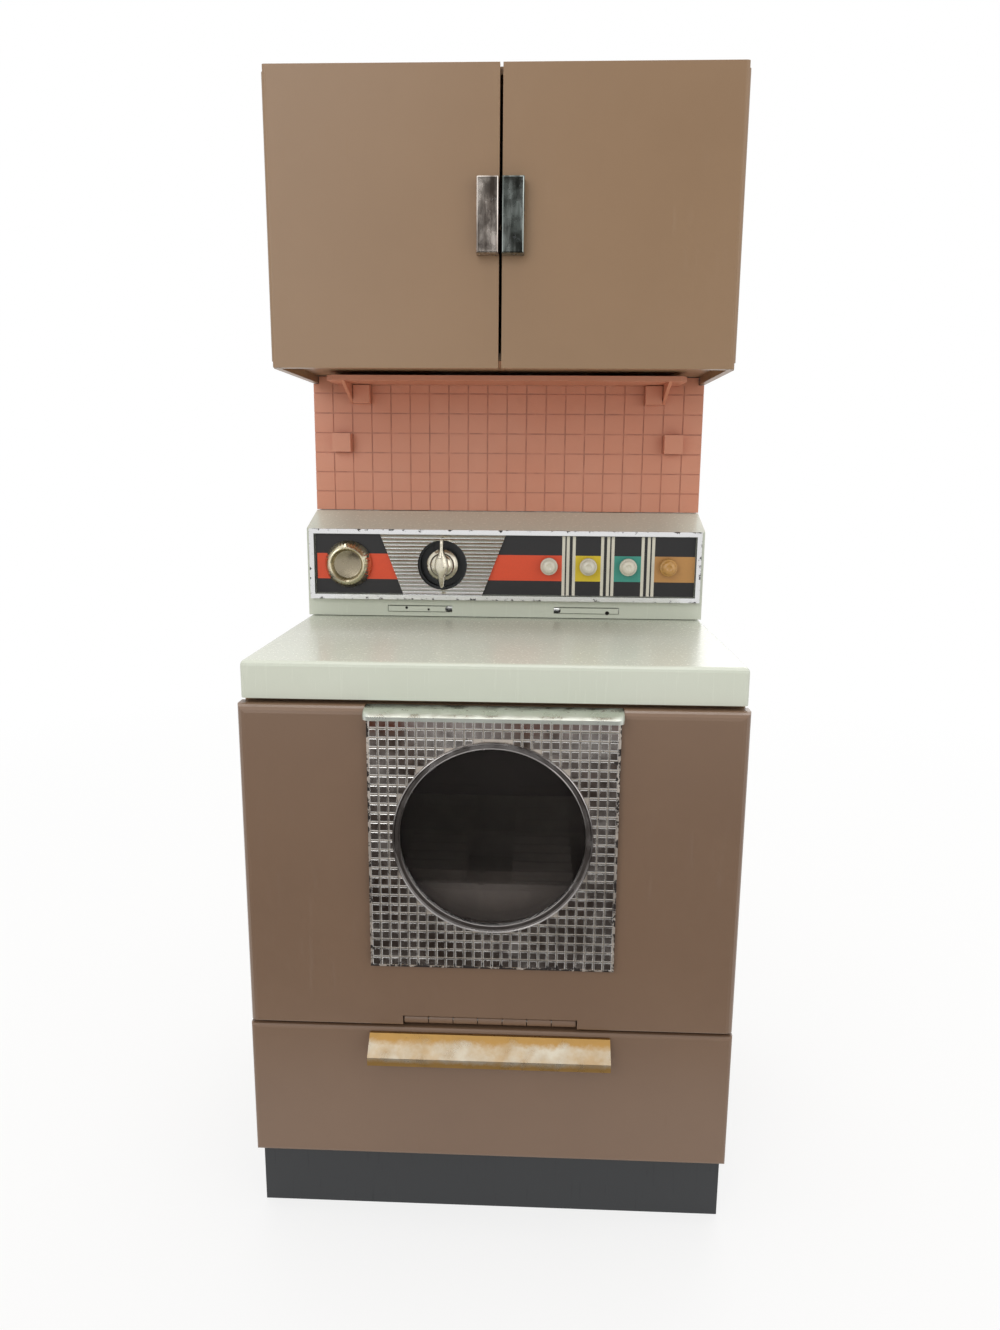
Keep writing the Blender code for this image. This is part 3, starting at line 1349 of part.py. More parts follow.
# Wall shelf: a thin board with chamfered corners on two gusset brackets
SHELF_END_GAP = 0.0097
SHELF_WIDTH = CARCASS_WIDTH - 2 * SHELF_END_GAP
SHELF_DEPTH = 0.0223
SHELF_CORNER = 0.0025
BRACKET_THICKNESS = 0.0012
BRACKET_HEIGHT = 0.0072
BRACKET_INSET = 0.001


def make_wall_shelf():
    back = SPLASH_Y - FIT
    front = back - SHELF_DEPTH
    half = SHELF_WIDTH / 2
    outline = [
        (-half, back),
        (-half, front + SHELF_CORNER),
        (SHELF_CORNER - half, front),
        (half - SHELF_CORNER, front),
        (half, front + SHELF_CORNER),
        (half, back),
    ]
    shelf = prism("wall_shelf", outline, "xy", SHELF_BOTTOM_Z, SHELF_TOP_Z, PINK)
    inner = UPPER_BLOCK_X + UPPER_BLOCK_WIDTH + FIT
    gusset = [
        (back, SHELF_BOTTOM_Z + SHELF_THICKNESS / 2),
        (front + BRACKET_INSET, SHELF_BOTTOM_Z + SHELF_THICKNESS / 2),
        (front + BRACKET_INSET, SHELF_BOTTOM_Z),
        (back - BRACKET_INSET, SHELF_BOTTOM_Z - BRACKET_HEIGHT),
        (back, SHELF_BOTTOM_Z - BRACKET_HEIGHT),
    ]
    for side, sign in SIDES:
        low, high = sided(sign, inner, inner + BRACKET_THICKNESS)
        join(shelf, prism(f"shelf_bracket_{side}", gusset, "yz", low, high, group=CUTTERS))


# Upper cabinet, its loose shelf, and two doors that turn on hidden pins
UPPER_DOOR_THICKNESS = 0.0036
DOOR_SKIN = 0.0005
EAR_HALF_WIDTH = 0.001
EAR_THICKNESS = 0.0018
EAR_STEPS = 6
UPPER_PIN_RADIUS = 0.00045
UPPER_PIN_DEPTH = 0.009
SPLIT_X = -0.0006
SPLIT_GAP = 0.001
UPPER_DOOR_ROUNDING = 0.0006
UPPER_CORNER = 0.0013
SHELF_LEDGE = 0.002
INNER_SHELF_RISE = 0.0419
INNER_SHELF_FRONT_GAP = 0.004
UPPER_AXIS_X = HALF_BODY - UPPER_DOOR_THICKNESS / 2
UPPER_AXIS_Y = UPPER_FRONT_Y + UPPER_DOOR_THICKNESS / 2
CABINET_FRONT_Y = UPPER_FRONT_Y + UPPER_DOOR_THICKNESS + FIT
INNER_SHELF_Z = CABINET_FLOOR_Z + INNER_SHELF_RISE
EAR_Z = {
    "bottom": (CABINET_BOTTOM_Z, CABINET_BOTTOM_Z + EAR_THICKNESS),
    "top": (CABINET_TOP_Z - EAR_THICKNESS, CABINET_TOP_Z),
}


def ear_outline(sign):
    """Plan of a hinge ear: a strap from the cabinet with a round end on the pin."""
    axis = sign * UPPER_AXIS_X
    root = CABINET_FRONT_Y + CABINET_WALL / 2
    points = [(axis + EAR_HALF_WIDTH, root), (axis - EAR_HALF_WIDTH, root)]
    for step in range(EAR_STEPS + 1):
        angle = pi + pi * step / EAR_STEPS
        x = axis + EAR_HALF_WIDTH * cos(angle)
        points.append((x, UPPER_AXIS_Y + EAR_HALF_WIDTH * sin(angle)))
    return points


def make_upper_cabinet():
    half = HALF_BODY
    cabinet = box(
        "upper_cabinet",
        about(0, half),
        (CABINET_FRONT_Y, BACK_Y),
        (CABINET_BOTTOM_Z, CABINET_TOP_Z),
        TAUPE,
    )
    inner = half - CABINET_WALL
    hollow = box(
        "cabinet_hollow",
        about(0, inner),
        (CABINET_FRONT_Y - CUT_OVERRUN, BACK_Y - CABINET_WALL),
        (CABINET_FLOOR_Z + CABINET_WALL, CABINET_TOP_Z - CABINET_WALL),
        group=CUTTERS,
    )
    cut(cabinet, hollow)
    recess = box(
        "cabinet_floor_recess",
        about(0, inner),
        (CABINET_FRONT_Y - CUT_OVERRUN, BACK_Y + CUT_OVERRUN),
        (CABINET_BOTTOM_Z - CUT_OVERRUN, CABINET_FLOOR_Z),
        group=CUTTERS,
    )
    cut(cabinet, recess)
    shelf_front = CABINET_FRONT_Y + INNER_SHELF_FRONT_GAP
    ledges = []
    for _, sign in SIDES:
        x = sided(sign, inner - SHELF_LEDGE, inner + CABINET_WALL / 2)
        y = (shelf_front, BACK_Y - CABINET_WALL / 2)
        ledges.append((x, y, (INNER_SHELF_Z - FIT - SHELF_LEDGE, INNER_SHELF_Z - FIT)))
    join(cabinet, boxes("cabinet_ledges", ledges, group=CUTTERS))
    cut(cabinet, tongue_slots("cabinet_tongue_slots", CABINET_FLOOR_Z + CABINET_WALL / 2))
    for side, sign in SIDES:
        axis = (sign * UPPER_AXIS_X, UPPER_AXIS_Y)
        for end, (low, high) in EAR_Z.items():
            join(cabinet, prism(f"ear_{side}_{end}", ear_outline(sign), "xy", low, high, group=CUTTERS))
            hole = rods(
                f"ear_hole_{side}_{end}",
                [(*axis, (low + high) / 2)],
                "z",
                UPPER_PIN_RADIUS + PIN_CLEARANCE,
                EAR_THICKNESS + 2 * CUT_OVERRUN,
                group=CUTTERS,
                segments=SMALL_ROUND_SEGMENTS,
            )
            cut(cabinet, hole)
    box(
        "cabinet_shelf",
        about(0, inner - FIT),
        (shelf_front, BACK_Y - CABINET_WALL - FIT),
        (INNER_SHELF_Z, INNER_SHELF_Z + PANEL_THICKNESS),
        TAUPE,
    )


def make_upper_door(side, sign):
    """One door: a slab with a round hinge edge, rebated behind its skin for the ears."""
    near = SPLIT_X + sign * SPLIT_GAP / 2
    x = tuple(sorted((near, sign * HALF_BODY)))
    back = UPPER_FRONT_Y + UPPER_DOOR_THICKNESS
    door = box(f"upper_door_{side}", x, (UPPER_FRONT_Y, back), (CABINET_BOTTOM_Z, CABINET_TOP_Z), TAUPE)
    edge = sign * HALF_BODY

    def hinge_edge(middle, direction):
        return abs(direction.z) > ALONG_SHARE and abs(middle.x - edge) < UPPER_DOOR_ROUNDING

    def other_front(middle, direction):
        at_hinge = abs(middle.x - edge) < UPPER_DOOR_ROUNDING
        return middle.y < UPPER_FRONT_Y + MERGE_DISTANCE and not at_hinge

    def bottom_corner(middle, direction):
        return abs(direction.y) > ALONG_SHARE and abs(middle.x - edge) < UPPER_CORNER

    round_edges(door, UPPER_DOOR_THICKNESS / 2 - MERGE_DISTANCE, hinge_edge, segments=5)
    round_edges(door, UPPER_DOOR_ROUNDING, other_front)
    axis = (sign * UPPER_AXIS_X, UPPER_AXIS_Y)
    rebates = []
    rebate_x = tuple(sorted((axis[0] - sign * (EAR_HALF_WIDTH + FIT), sign * (HALF_BODY + CUT_OVERRUN))))
    rebate_y = (UPPER_FRONT_Y + DOOR_SKIN, back + CUT_OVERRUN)
    low_ear, high_ear = EAR_Z["bottom"], EAR_Z["top"]
    rebates.append((rebate_x, rebate_y, (CABINET_BOTTOM_Z - CUT_OVERRUN, low_ear[1] + FIT)))
    rebates.append((rebate_x, rebate_y, (high_ear[0] - FIT, CABINET_TOP_Z + CUT_OVERRUN)))
    cut(door, boxes(f"upper_door_{side}_rebates", rebates, group=CUTTERS))
    for end, ear in EAR_Z.items():
        outward = -1 if end == "bottom" else 1
        face = ear[0] - FIT if end == "top" else ear[1] + FIT
        bottom = face - outward * (UPPER_PIN_DEPTH - EAR_THICKNESS - FIT)
        tip = ear[1] if end == "top" else ear[0]
        spot = (*axis, (tip + bottom) / 2)
        length = abs(tip - bottom)
        hole = rods(
            f"upper_door_{side}_{end}_pin_hole",
            [spot],
            "z",
            UPPER_PIN_RADIUS + PIN_CLEARANCE,
            length + 2 * FIT,
            group=CUTTERS,
            segments=SMALL_ROUND_SEGMENTS,
        )
        cut(door, hole)
        pin = rods(
            f"upper_pin_{side}_{end}",
            [spot],
            "z",
            UPPER_PIN_RADIUS,
            length,
            STEEL,
            segments=SMALL_ROUND_SEGMENTS,
        )
        pivot(pin, (*axis, CABINET_BOTTOM_Z))
    pivot(door, (*axis, CABINET_BOTTOM_Z))


# Door pulls: a plated block beside the split on each upper door
PULL_WIDTH = 0.0072
PULL_HEIGHT = 0.0232
PULL_REACH = 0.0045
PULL_RISE = 0.0351
PULL_ROUNDING = 0.0005


def make_pull(side, sign):
    start = SPLIT_X + sign * SPLIT_GAP / 2
    x = tuple(sorted((start, start + sign * PULL_WIDTH)))
    y = (UPPER_FRONT_Y - FIT - PULL_REACH, UPPER_FRONT_Y - FIT)
    low = CABINET_BOTTOM_Z + PULL_RISE
    pull = box(f"door_pull_{side}", x, y, (low, low + PULL_HEIGHT), CHROME)

    def front_edge(middle, direction):
        return middle.y < y[0] + PULL_ROUNDING

    round_edges(pull, PULL_ROUNDING, front_edge)
    pivot(pull, (sign * UPPER_AXIS_X, UPPER_AXIS_Y, CABINET_BOTTOM_Z))


make_toe_kick()
make_base_cabinet()
make_back_panel()
make_hinge()
make_window()
make_main_door()
make_tub()
make_dish_rack()
make_drawer()
make_drawer_handle()
make_countertop()
make_console()
make_fascia()
make_dial()
make_timer()
make_buttons()
make_backsplash()
make_wall_shelf()
make_upper_cabinet()
for side_name, side_sign in SIDES:
    make_upper_door(side_name, side_sign)
    make_pull(side_name, side_sign)
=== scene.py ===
# %% [markdown]
# # A doll's dishwasher in moulded styrene
# The toy is a printed, plated and moulded kitchen unit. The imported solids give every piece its
# place, so this lesson only adds finishes and the fine forms: the waffle plate, the dial, the
# timer knob and the button caps. All lengths are in metres, and the front faces -Y.

# %% Load the frame
from math import cos, pi, sin

import bmesh
import bpy
from mathutils import Matrix, Vector


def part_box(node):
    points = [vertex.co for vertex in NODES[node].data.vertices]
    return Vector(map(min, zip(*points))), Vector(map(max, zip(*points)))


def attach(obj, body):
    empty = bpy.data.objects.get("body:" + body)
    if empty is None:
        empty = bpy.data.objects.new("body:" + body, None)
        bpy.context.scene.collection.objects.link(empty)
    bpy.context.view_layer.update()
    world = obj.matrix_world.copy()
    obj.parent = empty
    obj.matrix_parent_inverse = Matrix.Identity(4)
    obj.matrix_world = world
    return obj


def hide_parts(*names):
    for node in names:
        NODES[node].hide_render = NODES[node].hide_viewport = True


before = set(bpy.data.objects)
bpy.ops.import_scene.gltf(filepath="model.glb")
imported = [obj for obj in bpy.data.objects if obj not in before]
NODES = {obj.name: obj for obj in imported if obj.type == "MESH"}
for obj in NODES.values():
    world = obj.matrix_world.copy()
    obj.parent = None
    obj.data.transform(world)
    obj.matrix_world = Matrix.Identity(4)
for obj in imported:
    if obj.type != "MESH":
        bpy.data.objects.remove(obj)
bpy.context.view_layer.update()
MM = 0.001

# %% [markdown]
# ## Where the camera stands
# The photograph was taken close up with a wide lens, a little above the counter and turned a
# touch to the left. Straight edges of the toy gave the focal length, tilt, turn and roll, so the
# camera is set from those four numbers and not by eye.

# %% The photograph's camera
PHOTO_HEIGHT = 1330
FOCAL_PX = 964.9
PITCH, YAW, ROLL = 0.2017, 0.0389, 0.0078
SENSOR_MM = 36
DOOR_FACE_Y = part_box("main_door")[0][1]
EYE = Vector((13.3 * MM, DOOR_FACE_Y - 279.7 * MM, 247.8 * MM))

forward = Vector((-sin(YAW) * cos(PITCH), cos(YAW) * cos(PITCH), -sin(PITCH)))
right = Vector((cos(YAW), sin(YAW), 0))
upward = right.cross(forward)
across = cos(ROLL) * right + sin(ROLL) * upward
above = cos(ROLL) * upward - sin(ROLL) * right
camera = bpy.data.objects.new("camera", bpy.data.cameras.new("camera"))
bpy.context.scene.collection.objects.link(camera)
camera.data.sensor_width = SENSOR_MM
camera.data.lens = FOCAL_PX / PHOTO_HEIGHT * SENSOR_MM
camera.data.clip_start = 0.01
camera.matrix_world = Matrix.Translation(EYE) @ Matrix((across, above, -forward)).transposed().to_4x4()
bpy.context.scene.camera = camera
print("lens", round(camera.data.lens, 2), "mm")

# %% [markdown]
# ## A small kit for materials
# Every finish is a node tree on the piece's own Object coordinates. One function adds a node
# with its settings and links, and another turns a colour written as on a paint chart into the
# linear light that the renderer works in.


# %% Colour and node helpers
def linear(code):
    """An sRGB hex colour as linear red, green, blue and alpha."""
    shares = [int(code[n : n + 2], 16) / 255 for n in (1, 3, 5)]
    return (*[v / 12.92 if v <= 0.04045 else ((v + 0.055) / 1.055) ** 2.4 for v in shares], 1)


def per(size_mm):
    """A texture scale whose features are about so many millimetres wide."""
    return 1000 / size_mm


def add(tree, kind, inputs=(), **settings):
    """Add one node; a socket given as an input is linked, and anything else is its value."""
    made = tree.nodes.new(kind)
    for name, value in settings.items():
        setattr(made, name, value)
    for key, value in dict(inputs).items():
        if isinstance(value, bpy.types.NodeSocket):
            tree.links.new(value, made.inputs[key])
        else:
            made.inputs[key].default_value = value
    return made


def start(name, **inputs):
    """A new material with its tree, its Principled shader and its Object coordinates."""
    made = bpy.data.materials.new(name)
    made.use_nodes = True
    tree = made.node_tree
    shader = tree.nodes["Principled BSDF"]
    for key, value in inputs.items():
        shader.inputs[key.replace("_", " ")].default_value = value
    return made, tree, shader, add(tree, "ShaderNodeTexCoord").outputs["Object"]


# %% Masks and rays
def spot_mask(tree, where, spots):
    """One near any of some (x, z, radius) spots given in millimetres, and zero elsewhere."""
    flat = add(tree, "ShaderNodeVectorMath", {0: where, 1: (1, 0, 1)}, operation="MULTIPLY").outputs[0]
    total = 0.0
    for x, z, radius in spots:
        spot = (x * MM, 0, z * MM)
        away = add(tree, "ShaderNodeVectorMath", {0: flat, 1: spot}, operation="DISTANCE").outputs["Value"]
        near = add(tree, "ShaderNodeMapRange", {0: away, 1: radius * MM, 2: 0.8 * radius * MM})
        total = add(tree, "ShaderNodeMath", {0: near.outputs[0], 1: total}, operation="MAXIMUM").outputs[0]
    return total


def showing_rays(tree):
    """One for what the camera, a mirror or a glass looks at, and zero for light that only bounces."""
    ray = add(tree, "ShaderNodeLightPath")
    total = ray.outputs["Is Camera Ray"]
    for name in ("Is Glossy Ray", "Is Transmission Ray"):
        total = add(
            tree, "ShaderNodeMath", {0: total, 1: ray.outputs[name]}, operation="MAXIMUM"
        ).outputs[0]
    return total


# %% [markdown]
# ## Moulded styrene
# Toy walls of that time are injection-moulded high-impact polystyrene: a slightly soft gloss,
# a colour that has clouded a little with age, a faint orange peel and hairline scuffs. Noise at
# three sizes gives these, so one recipe serves each colour of plastic. Shade is painted as dark
# spots into the two slots at the foot of the console, on the mint counter and console housing.


# %% Styrene recipe
def styrene(name, body, aged, gloss, peel=0.25, dust=None, dust_share=0.0, shade_spots=(), shine=0.5):
    made, tree, shader, where = start(name, IOR=1.59, Specular_IOR_Level=shine)
    cloud = add(
        tree, "ShaderNodeTexNoise", {"Vector": where, "Scale": per(38), "Detail": 5, "Roughness": 0.6}
    )
    tone = add(
        tree, "ShaderNodeMix", {0: cloud.outputs[0], 6: linear(body), 7: linear(aged)}, data_type="RGBA"
    )
    colour = tone.outputs[2]
    stretch = add(
        tree, "ShaderNodeMapping", {"Vector": where, "Rotation": (0.2, 0.5, 0.1), "Scale": (1, 1, 0.06)}
    )
    scuff = add(tree, "ShaderNodeTexNoise", {"Vector": stretch.outputs[0], "Scale": per(0.9), "Detail": 3})
    hairline = add(
        tree, "ShaderNodeMapRange", {0: scuff.outputs[0], 1: 0.62, 2: 0.75, 3: gloss, 4: gloss + 0.18}
    )
    tree.links.new(hairline.outputs[0], shader.inputs["Roughness"])
    if dust:
        speck = add(
            tree, "ShaderNodeTexNoise", {"Vector": where, "Scale": per(1.6), "Detail": 6, "Roughness": 0.7}
        )
        mask = add(
            tree, "ShaderNodeMapRange", {0: speck.outputs[0], 1: 0.74 - dust_share, 2: 0.8 - dust_share}
        )
        marked = add(
            tree, "ShaderNodeMix", {0: mask.outputs[0], 6: colour, 7: linear(dust)}, data_type="RGBA"
        )
        colour = marked.outputs[2]
    # Painted shade: spots given as (x, z, radius) are darkened where slots lie in shade
    if shade_spots:
        painted_shade = spot_mask(tree, where, shade_spots)
        colour = add(
            tree, "ShaderNodeMix", {0: painted_shade, 6: colour, 7: linear("#14100E")}, data_type="RGBA"
        ).outputs[2]
    tree.links.new(colour, shader.inputs["Base Color"])
    grain = add(tree, "ShaderNodeTexNoise", {"Vector": where, "Scale": per(1.2), "Detail": 2})
    bump = add(
        tree, "ShaderNodeBump", {"Height": grain.outputs[0], "Strength": peel, "Distance": 0.03 * MM}
    )
    tree.links.new(bump.outputs[0], shader.inputs["Normal"])
    return made


# Painted shade in the ends of the two slots at the foot of the console, as (x, z, radius) in millimetres
SLOT_SHADE_SPOTS = (
    (-21.7, 193.2, 1.4), (21.0, 193.2, 1.4), (-38.2, 193.6, 0.6), (-29.5, 193.0, 0.5), (40.4, 192.4, 0.9)
)
TAUPE = styrene("taupe_polystyrene_moulded", "#8F7153", "#98795A", 0.36, dust="#A28F7A", dust_share=0.02)
# The door, drawer front and hinge leaves use the taupe painted darker as shade, since light falls off
# downwards; its hue is a little rosier
DOOR_TAUPE_SHADED = styrene("taupe_polystyrene_door_shaded", "#775D49", "#80654F", 0.34, dust="#A79783", dust_share=0.02)
MINT = styrene("mint_polystyrene_cover", "#D2D6C6", "#D8DCCE", 0.26, peel=0.1, shine=0.22)
# The counter and console housing carry the painted shade spots of the slots
MINT_SLOT_SHADE = styrene(
    "mint_polystyrene_slot_shade", "#D2D6C6", "#D8DCCE", 0.26, peel=0.1, shade_spots=SLOT_SHADE_SPOTS, shine=0.22
)
BLACK = styrene("black_polystyrene_moulded", "#15171A", "#1D2023", 0.45, dust="#3E4143", dust_share=0.03)
# The tub liner, runners and door liner are painted dark brown as shade, since the inside of the tub lies in
# shade
LINER_SHADE = styrene("dark_liner_painted_shade", "#2A2423", "#342C2A", 0.4)
PEARL = styrene("pearl_polystyrene_caps", "#D9D3C0", "#E8E2D2", 0.2, peel=0.1)
AMBER = styrene("amber_polystyrene_cap", "#BE8A45", "#D0A05C", 0.2, peel=0.1)
print("styrene colours made")

# %% [markdown]
# ## The pink tiled panel
# The splash panel is one pink moulding. Shade is painted right under the shelf as a mottled
# brown, which thins out downwards, so the height drives how much of it shows.

# %% Pink panel
SPLASH_LOW, SPLASH_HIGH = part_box("backsplash")


GROOVE_FLOOR = SPLASH_HIGH[1] - 9.1 * MM


def groove_shade_mask(tree, where):
    """How much painted shade darkens the moulded lines between the tiles, which lie a little behind the
    panel's face.
    """
    depth = add(tree, "ShaderNodeSeparateXYZ", {0: where}).outputs[1]
    behind = add(tree, "ShaderNodeMath", {0: depth, 1: GROOVE_FLOOR - 0.2 * MM}, operation="GREATER_THAN")
    before = add(tree, "ShaderNodeMath", {0: depth, 1: GROOVE_FLOOR + 0.1 * MM}, operation="LESS_THAN")
    between = add(
        tree, "ShaderNodeMath", {0: behind.outputs[0], 1: before.outputs[0]}, operation="MULTIPLY"
    )
    groove_shade_noise = add(tree, "ShaderNodeTexNoise", {"Vector": where, "Scale": per(7), "Detail": 4})
    amount = add(tree, "ShaderNodeMapRange", {0: groove_shade_noise.outputs[0], 1: 0.35, 2: 0.65, 3: 0.08, 4: 0.42})
    return add(
        tree, "ShaderNodeMath", {0: between.outputs[0], 1: amount.outputs[0]}, operation="MULTIPLY"
    ).outputs[0]


def pink_panel(name, shade_strength):
    made, tree, shader, where = start(name, IOR=1.59, Roughness=0.42)
    cloud = add(tree, "ShaderNodeTexNoise", {"Vector": where, "Scale": per(22), "Detail": 5})
    tone = add(
        tree, "ShaderNodeMix", {0: cloud.outputs[0], 6: linear("#D08667"), 7: linear("#D6967B")},
        data_type="RGBA",
    )
    height = add(tree, "ShaderNodeSeparateXYZ", {0: where})
    # Painted shade under the shelf: a mottled brown that grows towards the top of the panel
    layer = add(
        tree, "ShaderNodeTexNoise", {"Vector": where, "Scale": per(9), "Detail": 6, "Roughness": 0.65}
    )
    rise = add(
        tree, "ShaderNodeMapRange",
        {0: height.outputs[2], 1: SPLASH_HIGH[2] - 22 * MM, 2: SPLASH_HIGH[2], 4: shade_strength},
    )
    share = add(tree, "ShaderNodeMath", {0: layer.outputs[0], 1: rise.outputs[0]}, operation="MULTIPLY")
    marked = add(
        tree, "ShaderNodeMix", {0: share.outputs[0], 6: tone.outputs[2], 7: linear("#B06A46")},
        data_type="RGBA",
    )
    # Painted shade in the grooves between the tiles, in a darker pink
    lined = add(
        tree, "ShaderNodeMix", {
            0: groove_shade_mask(tree, where), 6: marked.outputs[2], 7: linear("#8E5240"),
        }, data_type="RGBA"
    )
    tree.links.new(lined.outputs[2], shader.inputs["Base Color"])
    grain = add(tree, "ShaderNodeTexNoise", {"Vector": where, "Scale": per(0.8)})
    bump = add(tree, "ShaderNodeBump", {"Height": grain.outputs[0], "Strength": 0.2, "Distance": 0.03 * MM})
    tree.links.new(bump.outputs[0], shader.inputs["Normal"])
    return made


# The panel takes more of the painted shade under the shelf than the shelf itself
PINK = pink_panel("pink_polystyrene_tiles", 0.75)
PINK_SHELF = pink_panel("pink_polystyrene_shelf", 0.25)
print("splash panel", [round(v / MM, 1) for v in SPLASH_HIGH])

# %% [markdown]
# ## Plated plastic
# The bright trim is plastic with a vacuum-deposited film of aluminium under clear lacquer. The
# film wears through at the rims and leaves black flecks, so a noise mask swaps metal for bare
# plastic, and more of it where a piece's own border is near.


# %% Vacuum plating
def border_distance(tree, where, low, high):
    """How far a point lies inside a box in x and z, in metres."""
    parts = add(tree, "ShaderNodeSeparateXYZ", {0: where})
    reach = []
    for axis in (0, 2):
        middle, half = (low[axis] + high[axis]) / 2, (high[axis] - low[axis]) / 2
        offset = add(tree, "ShaderNodeMath", {0: parts.outputs[axis], 1: middle}, operation="SUBTRACT")
        size = add(tree, "ShaderNodeMath", {0: offset.outputs[0]}, operation="ABSOLUTE")
        reach.append(
            add(tree, "ShaderNodeMath", {0: half, 1: size.outputs[0]}, operation="SUBTRACT").outputs[0]
        )
    return add(tree, "ShaderNodeMath", {0: reach[0], 1: reach[1]}, operation="MINIMUM").outputs[0]


def plated(
    name, layer, bare, gloss, box_of=None, wear=0.62, border_wear=0.5, border_mm=3, dent=0.12, haze_share=0.2
):
    """A plated finish; its film is one colour, or a function that adds the nodes of its colours."""
    made, tree, shader, where = start(name)
    colour = layer(tree, where) if callable(layer) else linear(layer)
    fleck = add(
        tree, "ShaderNodeTexNoise", {"Vector": where, "Scale": per(2.6), "Detail": 8, "Roughness": 0.72}
    )
    limit = wear
    if box_of:
        near = border_distance(tree, where, *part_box(box_of))
        limit = add(
            tree, "ShaderNodeMapRange", {0: near, 1: 0.0, 2: border_mm * MM, 3: border_wear, 4: wear}
        ).outputs[0]
    above_limit = add(tree, "ShaderNodeMath", {0: fleck.outputs[0], 1: limit}, operation="SUBTRACT")
    mask = add(tree, "ShaderNodeMapRange", {0: above_limit.outputs[0], 1: 0.0, 2: 0.02})
    shown = add(tree, "ShaderNodeMix", {0: mask.outputs[0], 6: colour, 7: linear(bare)}, data_type="RGBA")
    tree.links.new(shown.outputs[2], shader.inputs["Base Color"])
    metal = add(tree, "ShaderNodeMath", {0: 1.0, 1: mask.outputs[0]}, operation="SUBTRACT")
    tree.links.new(metal.outputs[0], shader.inputs["Metallic"])
    smear = add(tree, "ShaderNodeTexNoise", {"Vector": where, "Scale": per(5), "Detail": 5})
    haze = add(
        tree, "ShaderNodeMapRange", {0: smear.outputs[0], 1: 0.35, 2: 0.7, 3: gloss, 4: gloss + haze_share}
    )
    rough = add(tree, "ShaderNodeMath", {0: mask.outputs[0], 1: 0.4}, operation="MULTIPLY")
    total = add(tree, "ShaderNodeMath", {0: haze.outputs[0], 1: rough.outputs[0]}, operation="ADD")
    tree.links.new(total.outputs[0], shader.inputs["Roughness"])
    bump = add(
        tree, "ShaderNodeBump", {"Height": smear.outputs[0], "Strength": dent, "Distance": 0.05 * MM}
    )
    tree.links.new(bump.outputs[0], shader.inputs["Normal"])
    return made


# %% [markdown]
# ## Films on the plated pieces
# Each plated piece wears in its own way. The flat tops of the studs on the window plate get a
# painted dark reflection, the handle is rubbed pale along its middle, the pulls are streaked with a
# painted reflection that is lighter on the left pull and darker on the right, and the cup of the
# dial is painted darker as shade. Each film is a function that mixes two colours by a mask of its own.


# %% Film of the window plate
def waffle_film_and_reflection(tree, where):
    """Painted dark reflection on the flat tops of the studs, browner on the upper rows under the ledge."""
    facing = add(tree, "ShaderNodeSeparateXYZ", {0: add(tree, "ShaderNodeTexCoord").outputs["Normal"]})
    # Painted dark reflection on the flat tops of the studs, chosen by which way a face points
    flat = add(tree, "ShaderNodeMapRange", {0: facing.outputs[1], 1: -0.93, 2: -0.985})
    patch = add(tree, "ShaderNodeTexNoise", {"Vector": where, "Scale": per(16), "Detail": 4})
    share = add(tree, "ShaderNodeMapRange", {0: patch.outputs[0], 1: 0.35, 2: 0.65, 3: 0.5, 4: 1.0})
    amount = add(tree, "ShaderNodeMath", {0: flat.outputs[0], 1: share.outputs[0]}, operation="MULTIPLY")
    height = add(tree, "ShaderNodeSeparateXYZ", {0: where})
    upper_rows = add(tree, "ShaderNodeMapRange", {0: height.outputs[2], 1: 168.5 * MM, 2: 171.5 * MM})
    top_reflection = add(
        tree, "ShaderNodeMix", {
            0: upper_rows.outputs[0], 6: linear("#786A61"), 7: linear("#6B4436"),
        }, data_type="RGBA"
    )
    mixed = add(
        tree, "ShaderNodeMix", {0: amount.outputs[0], 6: linear("#D8D6D3"), 7: top_reflection.outputs[2]},
        data_type="RGBA",
    )
    return mixed.outputs[2]


# %% Film of the handle
def handle_film(tree, where):
    """Gold lacquer that fingers have rubbed down to a pale band along the middle of the slope."""
    low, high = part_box("drawer_handle")
    parts = add(tree, "ShaderNodeSeparateXYZ", {0: where})
    rise = add(tree, "ShaderNodeMapRange", {0: parts.outputs[2], 1: low[2], 2: high[2], 3: -1.0, 4: 1.0})
    away = add(tree, "ShaderNodeMath", {0: rise.outputs[0]}, operation="ABSOLUTE")
    rag = add(tree, "ShaderNodeTexNoise", {"Vector": where, "Scale": per(5), "Detail": 7, "Roughness": 0.7})
    edge = add(tree, "ShaderNodeMath", {0: away.outputs[0], 1: rag.outputs[0]}, operation="ADD")
    band = add(tree, "ShaderNodeMapRange", {0: edge.outputs[0], 1: 1.25, 2: 0.9})
    stain = add(
        tree, "ShaderNodeTexNoise", {"Vector": where, "Scale": per(13), "Detail": 5, "Roughness": 0.6}
    )
    rubbed = add(tree, "ShaderNodeMapRange", {0: stain.outputs[0], 1: 0.4, 2: 0.62, 3: 0.35, 4: 1.0})
    share = add(tree, "ShaderNodeMath", {0: band.outputs[0], 1: rubbed.outputs[0]}, operation="MULTIPLY")
    mixed = add(
        tree, "ShaderNodeMix", {0: share.outputs[0], 6: linear("#AC8750"), 7: linear("#C9C0AE")},
        data_type="RGBA",
    )
    return mixed.outputs[2]


